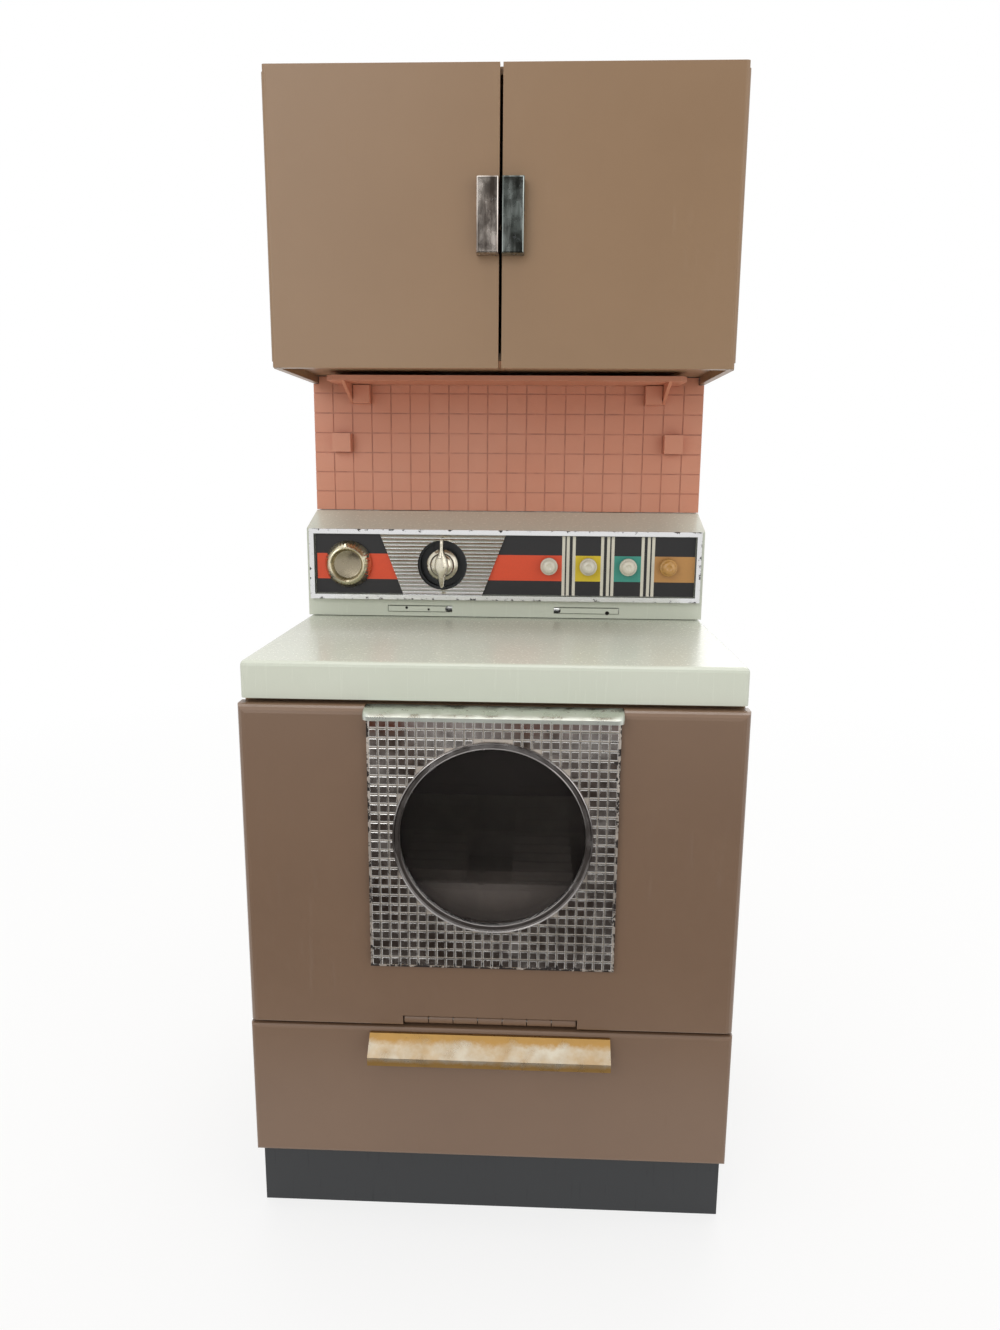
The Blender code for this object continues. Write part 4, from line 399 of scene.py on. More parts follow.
# %% Film of the pulls
def pull_film_and_reflection(tree, where):
    """Streaks down the pulls, with painted reflection: the left pull lighter and browner, the right one
    darker and greener.
    """
    stretch = add(tree, "ShaderNodeMapping", {"Vector": where, "Scale": (1, 1, 0.12)})
    streak = add(tree, "ShaderNodeTexNoise", {"Vector": stretch.outputs[0], "Scale": per(1.6), "Detail": 4})
    side = add(tree, "ShaderNodeSeparateXYZ", {0: where})
    # Painted reflection: the left pull gets lighter colours than the right one
    right_hand = add(tree, "ShaderNodeMath", {0: side.outputs[0], 1: -0.6 * MM}, operation="GREATER_THAN")
    deep = add(
        tree, "ShaderNodeMix", {0: right_hand.outputs[0], 6: linear("#9C9188"), 7: linear("#666C68")},
        data_type="RGBA",
    )
    pale = add(
        tree, "ShaderNodeMix", {0: right_hand.outputs[0], 6: linear("#DAD1C8"), 7: linear("#A2A9A5")},
        data_type="RGBA",
    )
    amount = add(tree, "ShaderNodeMapRange", {0: streak.outputs[0], 1: 0.4, 2: 0.62})
    mixed = add(
        tree, "ShaderNodeMix", {0: amount.outputs[0], 6: deep.outputs[2], 7: pale.outputs[2]},
        data_type="RGBA",
    )
    return mixed.outputs[2]


# %% Film of the dial
def dial_film_and_shade(tree, where):
    """Champagne lacquer, painted darker in the cup of the dial as shade."""
    low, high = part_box("left_dial")
    cup = ((low[0] + high[0]) / 2 / MM, (low[2] + high[2]) / 2 / MM, 6.1)
    # Painted shade in the cup of the dial
    painted_shade = spot_mask(tree, where, [cup])
    mixed = add(
        tree, "ShaderNodeMix", {0: painted_shade, 6: linear("#DDD5BA"), 7: linear("#968C78")}, data_type="RGBA"
    )
    return mixed.outputs[2]


# %% Plated finishes
WAFFLE = plated(
    "chrome_plate_waffle", waffle_film_and_reflection, "#231C19", 0.14, "window_frame", 0.65, 0.42, 2.6, dent=0.04
)
GROOVE_CHROME = plated("chrome_plate_grooves", "#DDD3C8", "#231C19", 0.34, "window_frame", 0.64, 0.42, 2.6)
RING_CHROME = plated("chrome_plate_ring", "#A09C9A", "#2E2827", 0.12, None, 0.66)
LEDGE_CHROME = plated("chrome_plate_ledge", "#C9CDC4", "#5A4A40", 0.24, "window_frame", 0.7, 0.6, 0.8)
CHROME = plated(
    "chrome_plate_frame", "#DEDEDE", "#1E1B1C", 0.13, "fascia_frame", 0.68, 0.54, 1.6, dent=0.02,
    haze_share=0.06,
)
PULL_CHROME = plated("chrome_plate_pulls", pull_film_and_reflection, "#14181C", 0.14, None, 0.62)
KNOB_CHROME = plated("chrome_plate_knob", "#D6CFBD", "#4A4034", 0.16, None, 0.62)
GOLD = plated("gold_plate_handle", handle_film, "#8E7448", 0.24, None, 0.66)
CHAMPAGNE = plated("champagne_plate_dial", dial_film_and_shade, "#5E5442", 0.18, None, 0.66)
print("plated finishes made")

# %% [markdown]
# ## Steel, printed card and clear styrene
# Springs, pins, clips and screws are zinc-plated steel with a faint cast. The card is printed
# flat: stops on a colour ramp lay out the band and the stripes at their measured places, and a
# height test picks the band. The pane is clear styrene with a little haze, and partly see-through
# so that light gets behind it; the rack is the same plastic gone milky.

# %% Steel
STEEL, tree, shader, where = start("zinc_plated_steel", Metallic=1.0)
cast = add(tree, "ShaderNodeTexNoise", {"Vector": where, "Scale": per(1.5), "Detail": 4})
tint = add(
    tree, "ShaderNodeMix", {0: cast.outputs[0], 6: linear("#B4B4B2"), 7: linear("#D2D0CA")},
    data_type="RGBA",
)
tree.links.new(tint.outputs[2], shader.inputs["Base Color"])
haze = add(tree, "ShaderNodeMapRange", {0: cast.outputs[0], 3: 0.22, 4: 0.42})
tree.links.new(haze.outputs[0], shader.inputs["Roughness"])
print(STEEL.name)

# %% Printed card
CARD_LOW, CARD_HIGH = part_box("fascia_card")
INK, PAPER = "#171517", "#DFDACA"
STRIPE_MM = 1.15
STRIPES_MM = (22.6, 24.65, 26.7, 37.9, 39.9, 41.9, 53.1, 55.25, 57.4)
BAND_MM = (
    (-74.4, 21.9, "#E5502A"), (27.3, 37.2, "#E2C62A"), (42.5, 52.4, "#3F9A8A"), (58.0, 73.9, "#C08D50")
)
BAND_Z = (204.8 * MM, 214.7 * MM)


def print_ramp(tree, share, blocks):
    """A stepped ramp across the card: ink, with each block of (start, end, colour) over it."""
    ramp = add(tree, "ShaderNodeValToRGB", {0: share})
    ramp.color_ramp.interpolation = "CONSTANT"
    width = CARD_HIGH[0] - CARD_LOW[0]
    ramp.color_ramp.elements[0].color = linear(INK)
    ramp.color_ramp.elements.remove(ramp.color_ramp.elements[1])
    for begin, end, code in sorted(blocks):
        for edge, colour in ((begin, code), (end, INK)):
            place = min(max((edge * MM - CARD_LOW[0]) / width, 0), 1)
            ramp.color_ramp.elements.new(place).color = linear(colour)
    return ramp.outputs[0]


CARD, tree, shader, where = start("offset_printed_card", Roughness=0.4)
stripes = [(x - STRIPE_MM / 2, x + STRIPE_MM / 2, PAPER) for x in STRIPES_MM]
parts = add(tree, "ShaderNodeSeparateXYZ", {0: where})
share = add(tree, "ShaderNodeMapRange", {0: parts.outputs[0], 1: CARD_LOW[0], 2: CARD_HIGH[0]}).outputs[0]
ground = print_ramp(tree, share, stripes)
band = print_ramp(tree, share, [*stripes, *BAND_MM])
over = add(tree, "ShaderNodeMath", {0: parts.outputs[2], 1: BAND_Z[0]}, operation="GREATER_THAN")
under = add(tree, "ShaderNodeMath", {0: parts.outputs[2], 1: BAND_Z[1]}, operation="LESS_THAN")
inside = add(tree, "ShaderNodeMath", {0: over.outputs[0], 1: under.outputs[0]}, operation="MULTIPLY")
shown = add(tree, "ShaderNodeMix", {0: inside.outputs[0], 6: ground, 7: band}, data_type="RGBA")
fibre = add(tree, "ShaderNodeTexNoise", {"Vector": where, "Scale": per(0.7), "Detail": 4})
fade = add(tree, "ShaderNodeMapRange", {0: fibre.outputs[0], 3: 0.94, 4: 1.05})
inked = add(tree, "ShaderNodeVectorMath", {0: shown.outputs[2], 3: fade.outputs[0]}, operation="SCALE")
tree.links.new(inked.outputs[0], shader.inputs["Base Color"])
print("card stops", len(stripes) + len(BAND_MM))

# %% Clear styrene
CLEAR, tree, shader, where = start(
    "clear_polystyrene_moulded", IOR=1.59, Transmission_Weight=0.985, Alpha=0.35
)
shader.inputs["Base Color"].default_value = linear("#CDBFB6")
smear = add(tree, "ShaderNodeTexNoise", {"Vector": where, "Scale": per(11), "Detail": 5})
haze = add(tree, "ShaderNodeMapRange", {0: smear.outputs[0], 1: 0.4, 2: 0.75, 3: 0.03, 4: 0.12})
tree.links.new(haze.outputs[0], shader.inputs["Roughness"])
SMOKED, tree, shader, where = start("clear_polystyrene_rack", IOR=1.59, Transmission_Weight=0.35)
streak = add(tree, "ShaderNodeTexNoise", {"Vector": where, "Scale": per(6), "Detail": 3})
tint = add(
    tree, "ShaderNodeMix", {0: streak.outputs[0], 6: linear("#8A8582"), 7: linear("#ADA7A2")},
    data_type="RGBA",
)
tree.links.new(tint.outputs[2], shader.inputs["Base Color"])
shader.inputs["Roughness"].default_value = 0.16
print(CLEAR.name, SMOKED.name)

# %% [markdown]
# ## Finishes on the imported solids
# Most walls keep their solid, because a moulded slab with a rounded rim is what the real one
# is. Each gets its own finish by name; a piece with no name in the list is a metal fitting.

# %% Give each solid its finish
FINISHES = {
    TAUPE: "base_cabinet base_back_panel upper_cabinet cabinet_shelf "
    "upper_door_left upper_door_right drawer_tray",
    DOOR_TAUPE_SHADED: "main_door drawer_front hinge_leaf_lower hinge_leaf_upper",
    MINT: "console_back_cover",
    MINT_SLOT_SHADE: "countertop console_housing",
    PINK: "backsplash",
    PINK_SHELF: "wall_shelf",
    BLACK: "toe_kick timer_cup",
    LINER_SHADE: "tub_liner rack_runner_left rack_runner_right drawer_runner_left drawer_runner_right door_liner",
    CHROME: "fascia_frame",
    WAFFLE: "window_frame",
    PULL_CHROME: "door_pull_left door_pull_right",
    KNOB_CHROME: "timer_knob",
    GOLD: "drawer_handle",
    CHAMPAGNE: "left_dial",
    CARD: "fascia_card",
    CLEAR: "window_pane",
    SMOKED: "dish_rack",
    PEARL: "push_button_1 push_button_2 push_button_3",
    AMBER: "push_button_4",
}
chosen = {name: finish for finish, names in FINISHES.items() for name in names.split()}
for name, node in NODES.items():
    node.data.materials.clear()
    node.data.materials.append(chosen.get(name, STEEL))
print(len(chosen), "named finishes,", len(NODES) - len(chosen), "steel fittings")


# %% [markdown]
# ## Making and placing a piece
# A finished piece keeps its object at the origin and its place in its mesh. One function links
# it, gives it a finish, and sets what it rides on and stands for.


# %% Piece helpers
def piece(name, mesh, finish, body, slot, *stands_for):
    """Link a mesh as a piece of the toy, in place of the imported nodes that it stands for."""
    mesh.materials.clear()
    mesh.materials.append(finish)
    made = bpy.data.objects.new(name, mesh)
    bpy.context.scene.collection.objects.link(made)
    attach(made, body)
    if stands_for:
        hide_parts(*stands_for)
    print(name, len(mesh.polygons), "faces")
    return made


def from_bmesh(name, bm, angle=0.6):
    """Close a bmesh up as a smooth mesh with its faces pointing outwards."""
    bmesh.ops.remove_doubles(bm, verts=bm.verts, dist=1e-6)
    bmesh.ops.recalc_face_normals(bm, faces=bm.faces)
    mesh = bpy.data.meshes.new(name)
    bm.to_mesh(mesh)
    bm.free()
    mesh.shade_smooth()
    mesh.set_sharp_from_angle(angle=angle)
    return mesh


def lathe(bm, profile, centre, steps=96):
    """Turn (radius, forward reach) points about the front-to-back line through a centre."""
    rings = []
    for radius, reach in profile:
        if radius < 1e-7:
            rings.append([bm.verts.new(centre + Vector((0, -reach, 0)))])
            continue
        ring = []
        for n in range(steps):
            turn = 2 * pi * n / steps
            ring.append(bm.verts.new(centre + Vector((radius * cos(turn), -reach, radius * sin(turn)))))
        rings.append(ring)
    for first, second in zip(rings, rings[1:]):
        for n in range(steps):
            corners = [first[n % len(first)], first[(n + 1) % len(first)]]
            corners += [second[(n + 1) % len(second)], second[n % len(second)]]
            kept = list(dict.fromkeys(corners))
            if len(kept) > 2:
                bm.faces.new(kept)


def grown(tree, values):
    """The plain mesh that a Geometry Nodes tree makes from values for its named inputs."""
    holder = bpy.data.objects.new("holder", bpy.data.meshes.new("holder"))
    bpy.context.scene.collection.objects.link(holder)
    maker = holder.modifiers.new("maker", "NODES")
    maker.node_group = tree
    for item in tree.interface.items_tree:
        if item.in_out == "INPUT":
            maker[item.identifier] = values[item.name]
    result = holder.evaluated_get(bpy.context.evaluated_depsgraph_get())
    mesh = bpy.data.meshes.new_from_object(result)
    bpy.data.objects.remove(holder)
    return mesh


# %% [markdown]
# ## The window plate
# The plate round the window is pressed into hundreds of small pillows with flat tops, so it
# sparkles. One pillow is made once, a grid of points carries it over the plate, and the points
# that would fall inside the ring are deleted first. The plate, its ring and its pull ledge are
# separate meshes here, which lets the ring be turned as a smooth bead.

# %% Window sizes
FRAME_LOW, FRAME_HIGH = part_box("window_frame")
PANE_LOW, PANE_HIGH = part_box("window_pane")
MIDDLE = Vector(((PANE_LOW[0] + PANE_HIGH[0]) / 2, DOOR_FACE_Y, (PANE_LOW[2] + PANE_HIGH[2]) / 2))
PLATE_HALF = 38.2 * MM
PLATE_LOW_Z = float(FRAME_LOW[2])
PLATE_HIGH_Z = float(FRAME_HIGH[2]) - 2.4 * MM
PLATE_BACK, PLATE_FRONT = DOOR_FACE_Y - 0.3 * MM, DOOR_FACE_Y - 1.8 * MM
RING_OUTER = 30.75 * MM
COLUMNS, ROWS = 26, 27
STUD_RISE = 0.6 * MM
print("window middle", [round(v / MM, 1) for v in MIDDLE])


# %% Plate with a round hole
def rectangle_point(turn):
    """Where a ray from the window's middle meets the plate's border."""
    x, z = cos(turn), sin(turn)
    reach_x = PLATE_HALF / max(abs(x), 1e-9)
    reach_z = (PLATE_HIGH_Z - MIDDLE.z if z > 0 else MIDDLE.z - PLATE_LOW_Z) / max(abs(z), 1e-9)
    reach = min(reach_x, reach_z)
    return x * reach, z * reach


bm = bmesh.new()
turns = {2 * pi * n / 128 for n in range(128)}
for dx in (-PLATE_HALF, PLATE_HALF):
    for dz in (PLATE_LOW_Z - MIDDLE.z, PLATE_HIGH_Z - MIDDLE.z):
        turns.add(Vector((1, 0)).angle_signed(Vector((dx, dz))) * -1 % (2 * pi))
loops = []
for turn in sorted(turns):
    hole = (RING_OUTER - MM) * Vector((cos(turn), sin(turn)))
    edge = rectangle_point(turn)
    spots = ((hole, PLATE_FRONT), (edge, PLATE_FRONT), (edge, PLATE_BACK), (hole, PLATE_BACK))
    loops.append([bm.verts.new((MIDDLE.x + at[0], y, MIDDLE.z + at[1])) for at, y in spots])
for first, second in zip(loops, loops[1:] + loops[:1]):
    for n in range(4):
        bm.faces.new((first[n], first[(n + 1) % 4], second[(n + 1) % 4], second[n]))
piece("window_plate", from_bmesh("window_plate", bm), GROOVE_CHROME, "door", "chrome", "window_frame")

# %% One pillow stud
PITCH_X = (2 * PLATE_HALF - 1.2 * MM) / COLUMNS
PITCH_Z = (PLATE_HIGH_Z - PLATE_LOW_Z - 1.2 * MM) / ROWS
# Half width as a share of the pitch, and rise as a share of the stud: a pillow with a flat top
PILLOW = ((0.472, 0), (0.452, 0.45), (0.41, 0.85), (0.355, 1))
CORNERS = ((-1, -1), (1, -1), (1, 1), (-1, 1))
bm = bmesh.new()
rings = []
for share, rise in PILLOW:
    spots = [(x * share * PITCH_X, -rise * STUD_RISE, z * share * PITCH_Z) for x, z in CORNERS]
    rings.append([bm.verts.new(spot) for spot in spots])
for first, second in zip(rings, rings[1:]):
    for n in range(4):
        bm.faces.new((first[n - 1], first[n], second[n], second[n - 1]))
bm.faces.new(rings[0])
bm.faces.new(rings[-1])
bmesh.ops.recalc_face_normals(bm, faces=bm.faces)
stud_mesh = bpy.data.meshes.new("stud")
bm.to_mesh(stud_mesh)
bm.free()
stud = bpy.data.objects.new("stud", stud_mesh)
print("pitch", round(PITCH_X / MM, 2), round(PITCH_Z / MM, 2), "mm")

# %% Scatter the studs with Geometry Nodes
tree = bpy.data.node_groups.new("waffle", "GeometryNodeTree")
for name, kind in (
    ("Ring Radius", "NodeSocketFloat"), ("Middle Height", "NodeSocketFloat"), ("Stud", "NodeSocketObject")
):
    tree.interface.new_socket(name, in_out="INPUT", socket_type=kind)
tree.interface.new_socket("Geometry", in_out="OUTPUT", socket_type="NodeSocketGeometry")
given = add(tree, "NodeGroupInput")
size_x, size_z = PITCH_X * (COLUMNS - 1), PITCH_Z * (ROWS - 1)
grid = add(tree, "GeometryNodeMeshGrid", {0: size_x, 1: size_z, 2: COLUMNS, 3: ROWS})
upright = add(tree, "GeometryNodeTransform", {0: grid.outputs[0], "Rotation": (pi / 2, 0, 0)})
spot = add(tree, "GeometryNodeInputPosition")
lift = add(tree, "ShaderNodeCombineXYZ", {2: given.outputs[1]})
offset = add(tree, "ShaderNodeVectorMath", {0: spot.outputs[0], 1: lift.outputs[0]}, operation="SUBTRACT")
away = add(tree, "ShaderNodeVectorMath", {0: offset.outputs[0]}, operation="LENGTH")
near = add(tree, "ShaderNodeMath", {0: away.outputs["Value"], 1: given.outputs[0]}, operation="LESS_THAN")
cleared = add(tree, "GeometryNodeDeleteGeometry", {0: upright.outputs[0], 1: near.outputs[0]})
model = add(tree, "GeometryNodeObjectInfo", {0: given.outputs[2]})
copies = add(
    tree, "GeometryNodeInstanceOnPoints",
    {"Points": cleared.outputs[0], "Instance": model.outputs["Geometry"]},
)
real = add(tree, "GeometryNodeRealizeInstances", {0: copies.outputs[0]})
finish = add(tree, "GeometryNodeSetMaterial", {0: real.outputs[0], 2: WAFFLE})
add(tree, "NodeGroupOutput", {0: finish.outputs[0]})

middle_of_grid = Vector((MIDDLE.x, PLATE_FRONT, (PLATE_LOW_Z + PLATE_HIGH_Z) / 2))
sizes = {
    "Ring Radius": RING_OUTER - 0.5 * MM, "Middle Height": float(MIDDLE.z - middle_of_grid.z),
    "Stud": stud,
}
studs = grown(tree, sizes)
bpy.data.objects.remove(stud)
studs.transform(Matrix.Translation(middle_of_grid))
piece("window_studs", studs, WAFFLE, "door", "chrome", "window_frame")

# %% Ring and sleeve
bm = bmesh.new()
# Radius and forward reach in millimetres: outer wall, bright rim, flat annulus, inner lip, sleeve
bead = [
    (30.05, -1.5), (30.05, 0.3), (30.7, 1.8), (30.75, 2.9), (30.6, 3.2), (30.35, 3.3), (30.1, 3.2),
    (29.95, 2.9),
]
bead += [
    (29.85, 2.6), (28.8, 2.6), (28.6, 2.75), (28.4, 2.7), (28.25, 2.4), (28.25, 1.05), (29.3, 1.05),
    (29.3, -1.5),
]
bead = [(radius * MM, reach * MM) for radius, reach in bead]
lathe(bm, [*bead, bead[0]], MIDDLE)
piece("window_ring", from_bmesh("window_ring", bm), RING_CHROME, "door", "chrome", "window_frame")

# %% [markdown]
# ## The pull ledge
# The ledge over the window is a lip that rolls forward and down. A row of cross-sections gives
# it that roll, and the sections shorten towards both ends, which rounds its corners in plan.

# %% Ledge
LEDGE_HALF = (float(FRAME_HIGH[0]) - float(FRAME_LOW[0])) / 2
LEDGE_REACH = DOOR_FACE_Y - float(FRAME_LOW[1])
TOP_Z = float(FRAME_HIGH[2])
CORNER = 2.5 * MM
LEDGE_DROP, LEDGE_THICKNESS = 1.3 * MM, 1.2 * MM
bm = bmesh.new()
sections = []
across_steps = [-LEDGE_HALF + CORNER * (1 - cos(pi / 2 * n / 6)) for n in range(7)]
across_steps += [-x for x in reversed(across_steps)]
for x in across_steps:
    inset = max(abs(x) - (LEDGE_HALF - CORNER), 0)
    reach = LEDGE_REACH - CORNER + max(CORNER**2 - inset**2, 0) ** 0.5
    upper = [(4 * MM, 0.0), (0.6 * MM, -0.02 * MM)]
    upper += [(-reach * n / 8, -LEDGE_DROP * (n / 8) ** 3) for n in range(1, 9)]
    lower = [(y, z - LEDGE_THICKNESS) for y, z in reversed(upper)]
    line = [*upper, *lower]
    sections.append([bm.verts.new((MIDDLE.x + x, DOOR_FACE_Y + y, TOP_Z + z)) for y, z in line])
for first, second in zip(sections, sections[1:]):
    for n in range(len(first)):
        bm.faces.new((first[n - 1], first[n], second[n], second[n - 1]))
bm.faces.new(sections[0])
bm.faces.new(sections[-1])
piece("window_ledge", from_bmesh("window_ledge", bm, 0.9), LEDGE_CHROME, "door", "chrome", "window_frame")

# %% [markdown]
# ## Controls
# The dial is a turned cup in a sloping skirt with fine flutes. The timer knob is a round boss
# with a pointed lever across it, and the caps are low domes over a collar. Turned profiles make
# the round forms, and the flutes are one ridge that Geometry Nodes copies round a circle.

# %% Dial
DIAL_LOW, DIAL_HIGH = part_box("left_dial")
DIAL_X, CONTROL_Z = float(DIAL_LOW[0] + DIAL_HIGH[0]) / 2, float(DIAL_LOW[2] + DIAL_HIGH[2]) / 2
DIAL_FRONT = float(DIAL_LOW[1])
DIAL_BACK = float(DIAL_HIGH[1])
SPINDLE = 1.3
hub = Vector((DIAL_X, DIAL_FRONT, CONTROL_Z))
bm = bmesh.new()
profile = [
    (0, -3.0), (3.2, -2.9), (5.2, -2.5), (5.9, -1.4), (6.1, -0.3), (6.4, 0.0), (6.8, -0.1), (7.1, -0.5),
]
profile += [(7.5, -0.9), (8.9, -3.3), (9.05, -3.7), (9.05, -4.6), (SPINDLE, -4.8)]
profile = [(radius * MM, reach * MM) for radius, reach in profile]
profile += [(SPINDLE * MM, DIAL_FRONT - DIAL_BACK), (0, DIAL_FRONT - DIAL_BACK)]
lathe(bm, profile, hub)
piece("dial_cup", from_bmesh("dial_cup", bm), CHAMPAGNE, "dial", "gold", "left_dial")

# %% Flutes round the dial
FLUTES = 40
bm = bmesh.new()
ridge = [(7.7, -1.05), (8.8, -2.95), (8.9, -3.5), (7.6, -1.9)]
for side in (-0.22, 0.0, 0.22):
    lift = 0.22 if side == 0 else 0.0
    for radius, reach in ridge[:2]:
        bm.verts.new((radius * MM, (-reach - lift) * MM, side * MM))
    for radius, reach in ridge[2:]:
        bm.verts.new((radius * MM, -reach * MM, side * MM))
bmesh.ops.convex_hull(bm, input=bm.verts)
flute_mesh = bpy.data.meshes.new("flute")
bm.to_mesh(flute_mesh)
bm.free()
flute = bpy.data.objects.new("flute", flute_mesh)
tree = bpy.data.node_groups.new("flutes", "GeometryNodeTree")
tree.interface.new_socket("Count", in_out="INPUT", socket_type="NodeSocketInt")
tree.interface.new_socket("Flute", in_out="INPUT", socket_type="NodeSocketObject")
tree.interface.new_socket("Geometry", in_out="OUTPUT", socket_type="NodeSocketGeometry")
given = add(tree, "NodeGroupInput")
points = add(tree, "GeometryNodePoints", {0: given.outputs[0]})
index = add(tree, "GeometryNodeInputIndex")
step = add(tree, "ShaderNodeMath", {0: 2 * pi, 1: given.outputs[0]}, operation="DIVIDE")
angle = add(tree, "ShaderNodeMath", {0: index.outputs[0], 1: step.outputs[0]}, operation="MULTIPLY")
spin = add(tree, "ShaderNodeCombineXYZ", {1: angle.outputs[0]})
model = add(tree, "GeometryNodeObjectInfo", {0: given.outputs[1]})
copies = add(
    tree,
    "GeometryNodeInstanceOnPoints",
    {"Points": points.outputs[0], "Instance": model.outputs["Geometry"], "Rotation": spin.outputs[0]},
)
real = add(tree, "GeometryNodeRealizeInstances", {0: copies.outputs[0]})
finish = add(tree, "GeometryNodeSetMaterial", {0: real.outputs[0], 2: CHAMPAGNE})
add(tree, "NodeGroupOutput", {0: finish.outputs[0]})
flutes = grown(tree, {"Count": FLUTES, "Flute": flute})
bpy.data.objects.remove(flute)
flutes.transform(Matrix.Translation(hub))
piece("dial_flutes", flutes, CHAMPAGNE, "dial", "gold", "left_dial")

# %% Timer knob
KNOB_LOW, KNOB_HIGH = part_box("timer_knob")
KNOB_X, KNOB_FRONT = float(KNOB_LOW[0] + KNOB_HIGH[0]) / 2, float(KNOB_LOW[1])
KNOB_BACK = float(KNOB_HIGH[1])
boss = Vector((KNOB_X, KNOB_FRONT, CONTROL_Z))
bm = bmesh.new()
profile = [
    (0, -1.4), (2.4, -1.6), (3.8, -2.3), (4.4, -3.2), (4.7, -3.9), (5.4, -4.3), (6.0, -4.9), (6.05, -7.8),
    (SPINDLE, -7.8),
]
profile = [(radius * MM, reach * MM) for radius, reach in profile]
profile += [(SPINDLE * MM, KNOB_FRONT - KNOB_BACK), (0, KNOB_FRONT - KNOB_BACK)]
lathe(bm, profile, boss)
piece("knob_boss", from_bmesh("knob_boss", bm), KNOB_CHROME, "timer", "chrome", "timer_knob")

# %% Timer lever
LEVER_UP = float(KNOB_HIGH[2]) - CONTROL_Z
LEVER_DOWN = CONTROL_Z - float(KNOB_LOW[2])
# The lever goes this far back into the boss, in millimetres
LEVER_FOOT = 3.9
# Height as a share of the lever's reach, half width and crest, in millimetres
outline = [
    (1.0, 0.35, 1.6), (0.9, 0.75, 1.1), (0.6, 0.85, 0.5), (0.42, 1.3, 0.25), (0.26, 2.3, 0.05),
    (0.0, 2.9, 0.0),
]
outline += [(-0.25, 2.3, 0.05), (-0.5, 1.4, 0.3), (-0.8, 1.0, 0.9), (-0.95, 0.7, 1.5), (-1.0, 0.3, 2.0)]
bm = bmesh.new()
rings = []
for share, half, crest in outline:
    z = CONTROL_Z + (LEVER_UP if share > 0 else LEVER_DOWN) * share
    ring = []
    for n in range(12):
        turn = 2 * pi * n / 12
        depth = (1 - sin(turn)) / 2
        y = KNOB_FRONT + (crest + (LEVER_FOOT - crest) * depth) * MM
        ring.append(bm.verts.new((KNOB_X + half * MM * cos(turn), y, z)))
    rings.append(ring)
for first, second in zip(rings, rings[1:]):
    for n in range(12):
        bm.faces.new((first[n - 1], first[n], second[n], second[n - 1]))
bm.faces.new(rings[0])
bm.faces.new(rings[-1])
bmesh.ops.subdivide_edges(bm, edges=bm.edges, cuts=1, use_grid_fill=True, smooth=0.6)
piece("knob_lever", from_bmesh("knob_lever", bm, 1.2), KNOB_CHROME, "timer", "chrome", "timer_knob")

# %% Button caps
STEM = 1.2
for number in range(1, 5):
    name = f"push_button_{number}"
    low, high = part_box(name)
    at = Vector((float(low[0] + high[0]) / 2, float(low[1]), CONTROL_Z))
    stem = float(low[1] - high[1])
    bm = bmesh.new()
    dome = [
        (0, -0.35), (0.7, -0.3), (1.2, 0.0), (1.9, -0.15), (2.5, -0.6), (2.75, -1.3), (3.2, -1.6),
        (3.35, -2.0),
    ]
    dome += [(3.35, -3.2), (2.4, -3.2), (2.4, -1.3), (STEM, -1.1)]
    cap = [(radius * MM, reach * MM) for radius, reach in dome]
    lathe(bm, [*cap, (STEM * MM, stem), (0, stem)], at, 48)
    finish, slot = (AMBER, "amber") if number == 4 else (PEARL, "pearl")
    piece(
        f"button_cap_{number}", from_bmesh(f"button_cap_{number}", bm), finish, f"button_{number}", slot,
        name,
    )

# %% [markdown]
# ## Light, floor and background
# The photograph is a cut-out on white. The world shows white to the camera and to mirrors, and
# lights the toy at a plain level; soft lamps in front give the mouldings their shape. Two dark
# cards, one high in front and one on the floor, are what the pulls and the window mirror.

# %% World
world = bpy.data.worlds.new("studio")
bpy.context.scene.world = world
world.use_nodes = True
tree = world.node_tree
strength = add(tree, "ShaderNodeMapRange", {0: showing_rays(tree), 3: 0.5, 4: 1.0})
tree.links.new(strength.outputs[0], tree.nodes["Background"].inputs["Strength"])
tree.nodes["Background"].inputs["Color"].default_value = (1, 1, 1, 1)


# %% Lamps
def lamp(name, place, size, watts, aim=Vector((0, 0, 0.19))):
    made = bpy.data.objects.new(name, bpy.data.lights.new(name, "AREA"))
    bpy.context.scene.collection.objects.link(made)
    made.data.size = size
    made.data.energy = watts
    made.location = place
    made.rotation_mode = "QUATERNION"
    made.rotation_quaternion = (aim - Vector(place)).to_track_quat("-Z", "Y")
    print(name, watts, "W")


lamp("key", (-0.5, -1.1, 0.75), 0.7, 3.8)
lamp("fill", (0.9, -0.9, 0.5), 0.9, 2)
lamp("top", (0.0, 0.1, 1.3), 0.8, 9)
lamp("rim", (0.3, 1.2, 0.7), 0.8, 3)

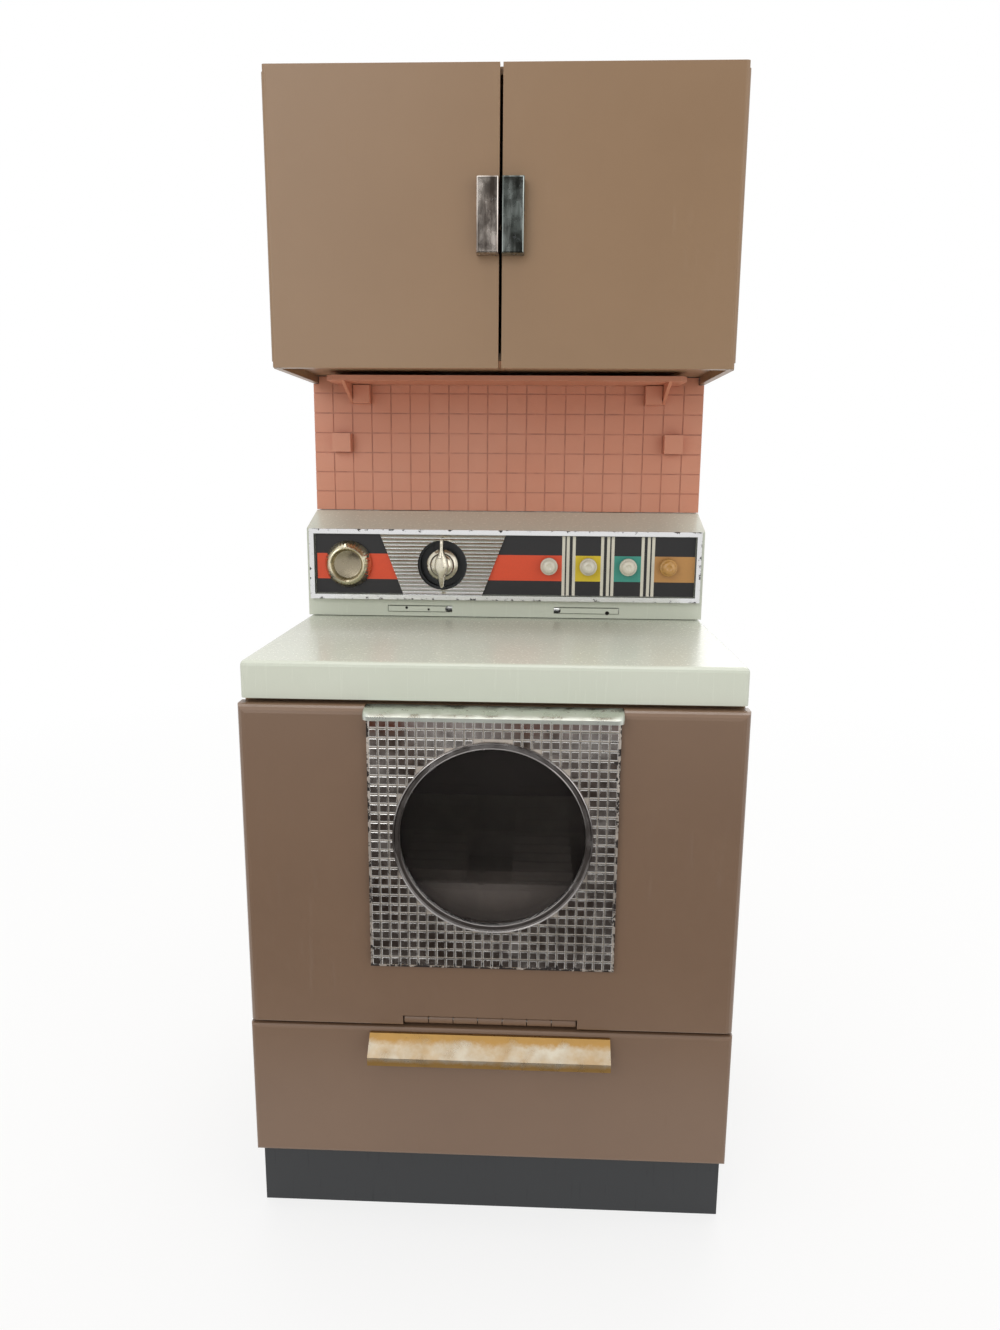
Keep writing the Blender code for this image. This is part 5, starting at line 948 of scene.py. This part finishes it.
# %% Floor
bm = bmesh.new()
bmesh.ops.create_circle(bm, cap_ends=True, radius=6, segments=64)
floor = bpy.data.objects.new("floor", from_bmesh("floor", bm))
bpy.context.scene.collection.objects.link(floor)
FLOOR, tree, shader, where = start("white_seamless_paper", Roughness=0.7)
mottle = add(tree, "ShaderNodeTexNoise", {"Vector": where, "Scale": 3})
white = add(
    tree, "ShaderNodeMix", {0: mottle.outputs[0], 6: linear("#E6E5E2"), 7: linear("#EAE9E6")},
    data_type="RGBA",
)
tree.links.new(white.outputs[2], shader.inputs["Base Color"])
glow = add(tree, "ShaderNodeEmission", {0: (1, 1, 1, 1), 1: 1.0})
away = add(tree, "ShaderNodeVectorMath", {0: where}, operation="LENGTH")
share = add(tree, "ShaderNodeMapRange", {0: away.outputs["Value"], 1: 0.2, 2: 0.75, 3: 0.8, 4: 1.0})
part = add(tree, "ShaderNodeMath", {0: showing_rays(tree), 1: share.outputs[0]}, operation="MULTIPLY")
mixed = add(tree, "ShaderNodeMixShader", {0: part.outputs[0], 1: shader.outputs[0], 2: glow.outputs[0]})
tree.links.new(mixed.outputs[0], tree.nodes["Material Output"].inputs[0])
floor.data.materials.append(FLOOR)
print(FLOOR.name)

# %% Dark cards
FLAG, tree, shader, where = start("black_felt_flag", Roughness=1.0)
nap = add(tree, "ShaderNodeTexNoise", {"Vector": where, "Scale": per(4)})
felt = add(
    tree, "ShaderNodeMix", {0: nap.outputs[0], 6: linear("#3C3734"), 7: linear("#4A4441")}, data_type="RGBA"
)
tree.links.new(felt.outputs[2], shader.inputs["Base Color"])
# Each card's corners run from the first to the second point: one stands, and one lies on the floor
CARDS = {
    "flag_high": ((-0.55, -1.0, 0.44), (0.55, -1.0, 0.8)),
    "flag_low": ((-0.5, -0.75, 0.002), (0.5, -0.15, 0.002)),
}
for name, (low, high) in CARDS.items():
    bm = bmesh.new()
    spots = (low, (high[0], low[1], low[2]), high, (low[0], high[1], high[2]))
    bm.faces.new([bm.verts.new(at) for at in spots])
    flag = bpy.data.objects.new(name, from_bmesh(name, bm))
    bpy.context.scene.collection.objects.link(flag)
    flag.data.materials.append(FLAG)
    flag.visible_camera = flag.visible_diffuse = flag.visible_shadow = False
print(len(CARDS), "dark cards")

# %% View
bpy.context.scene.view_settings.view_transform = "Standard"
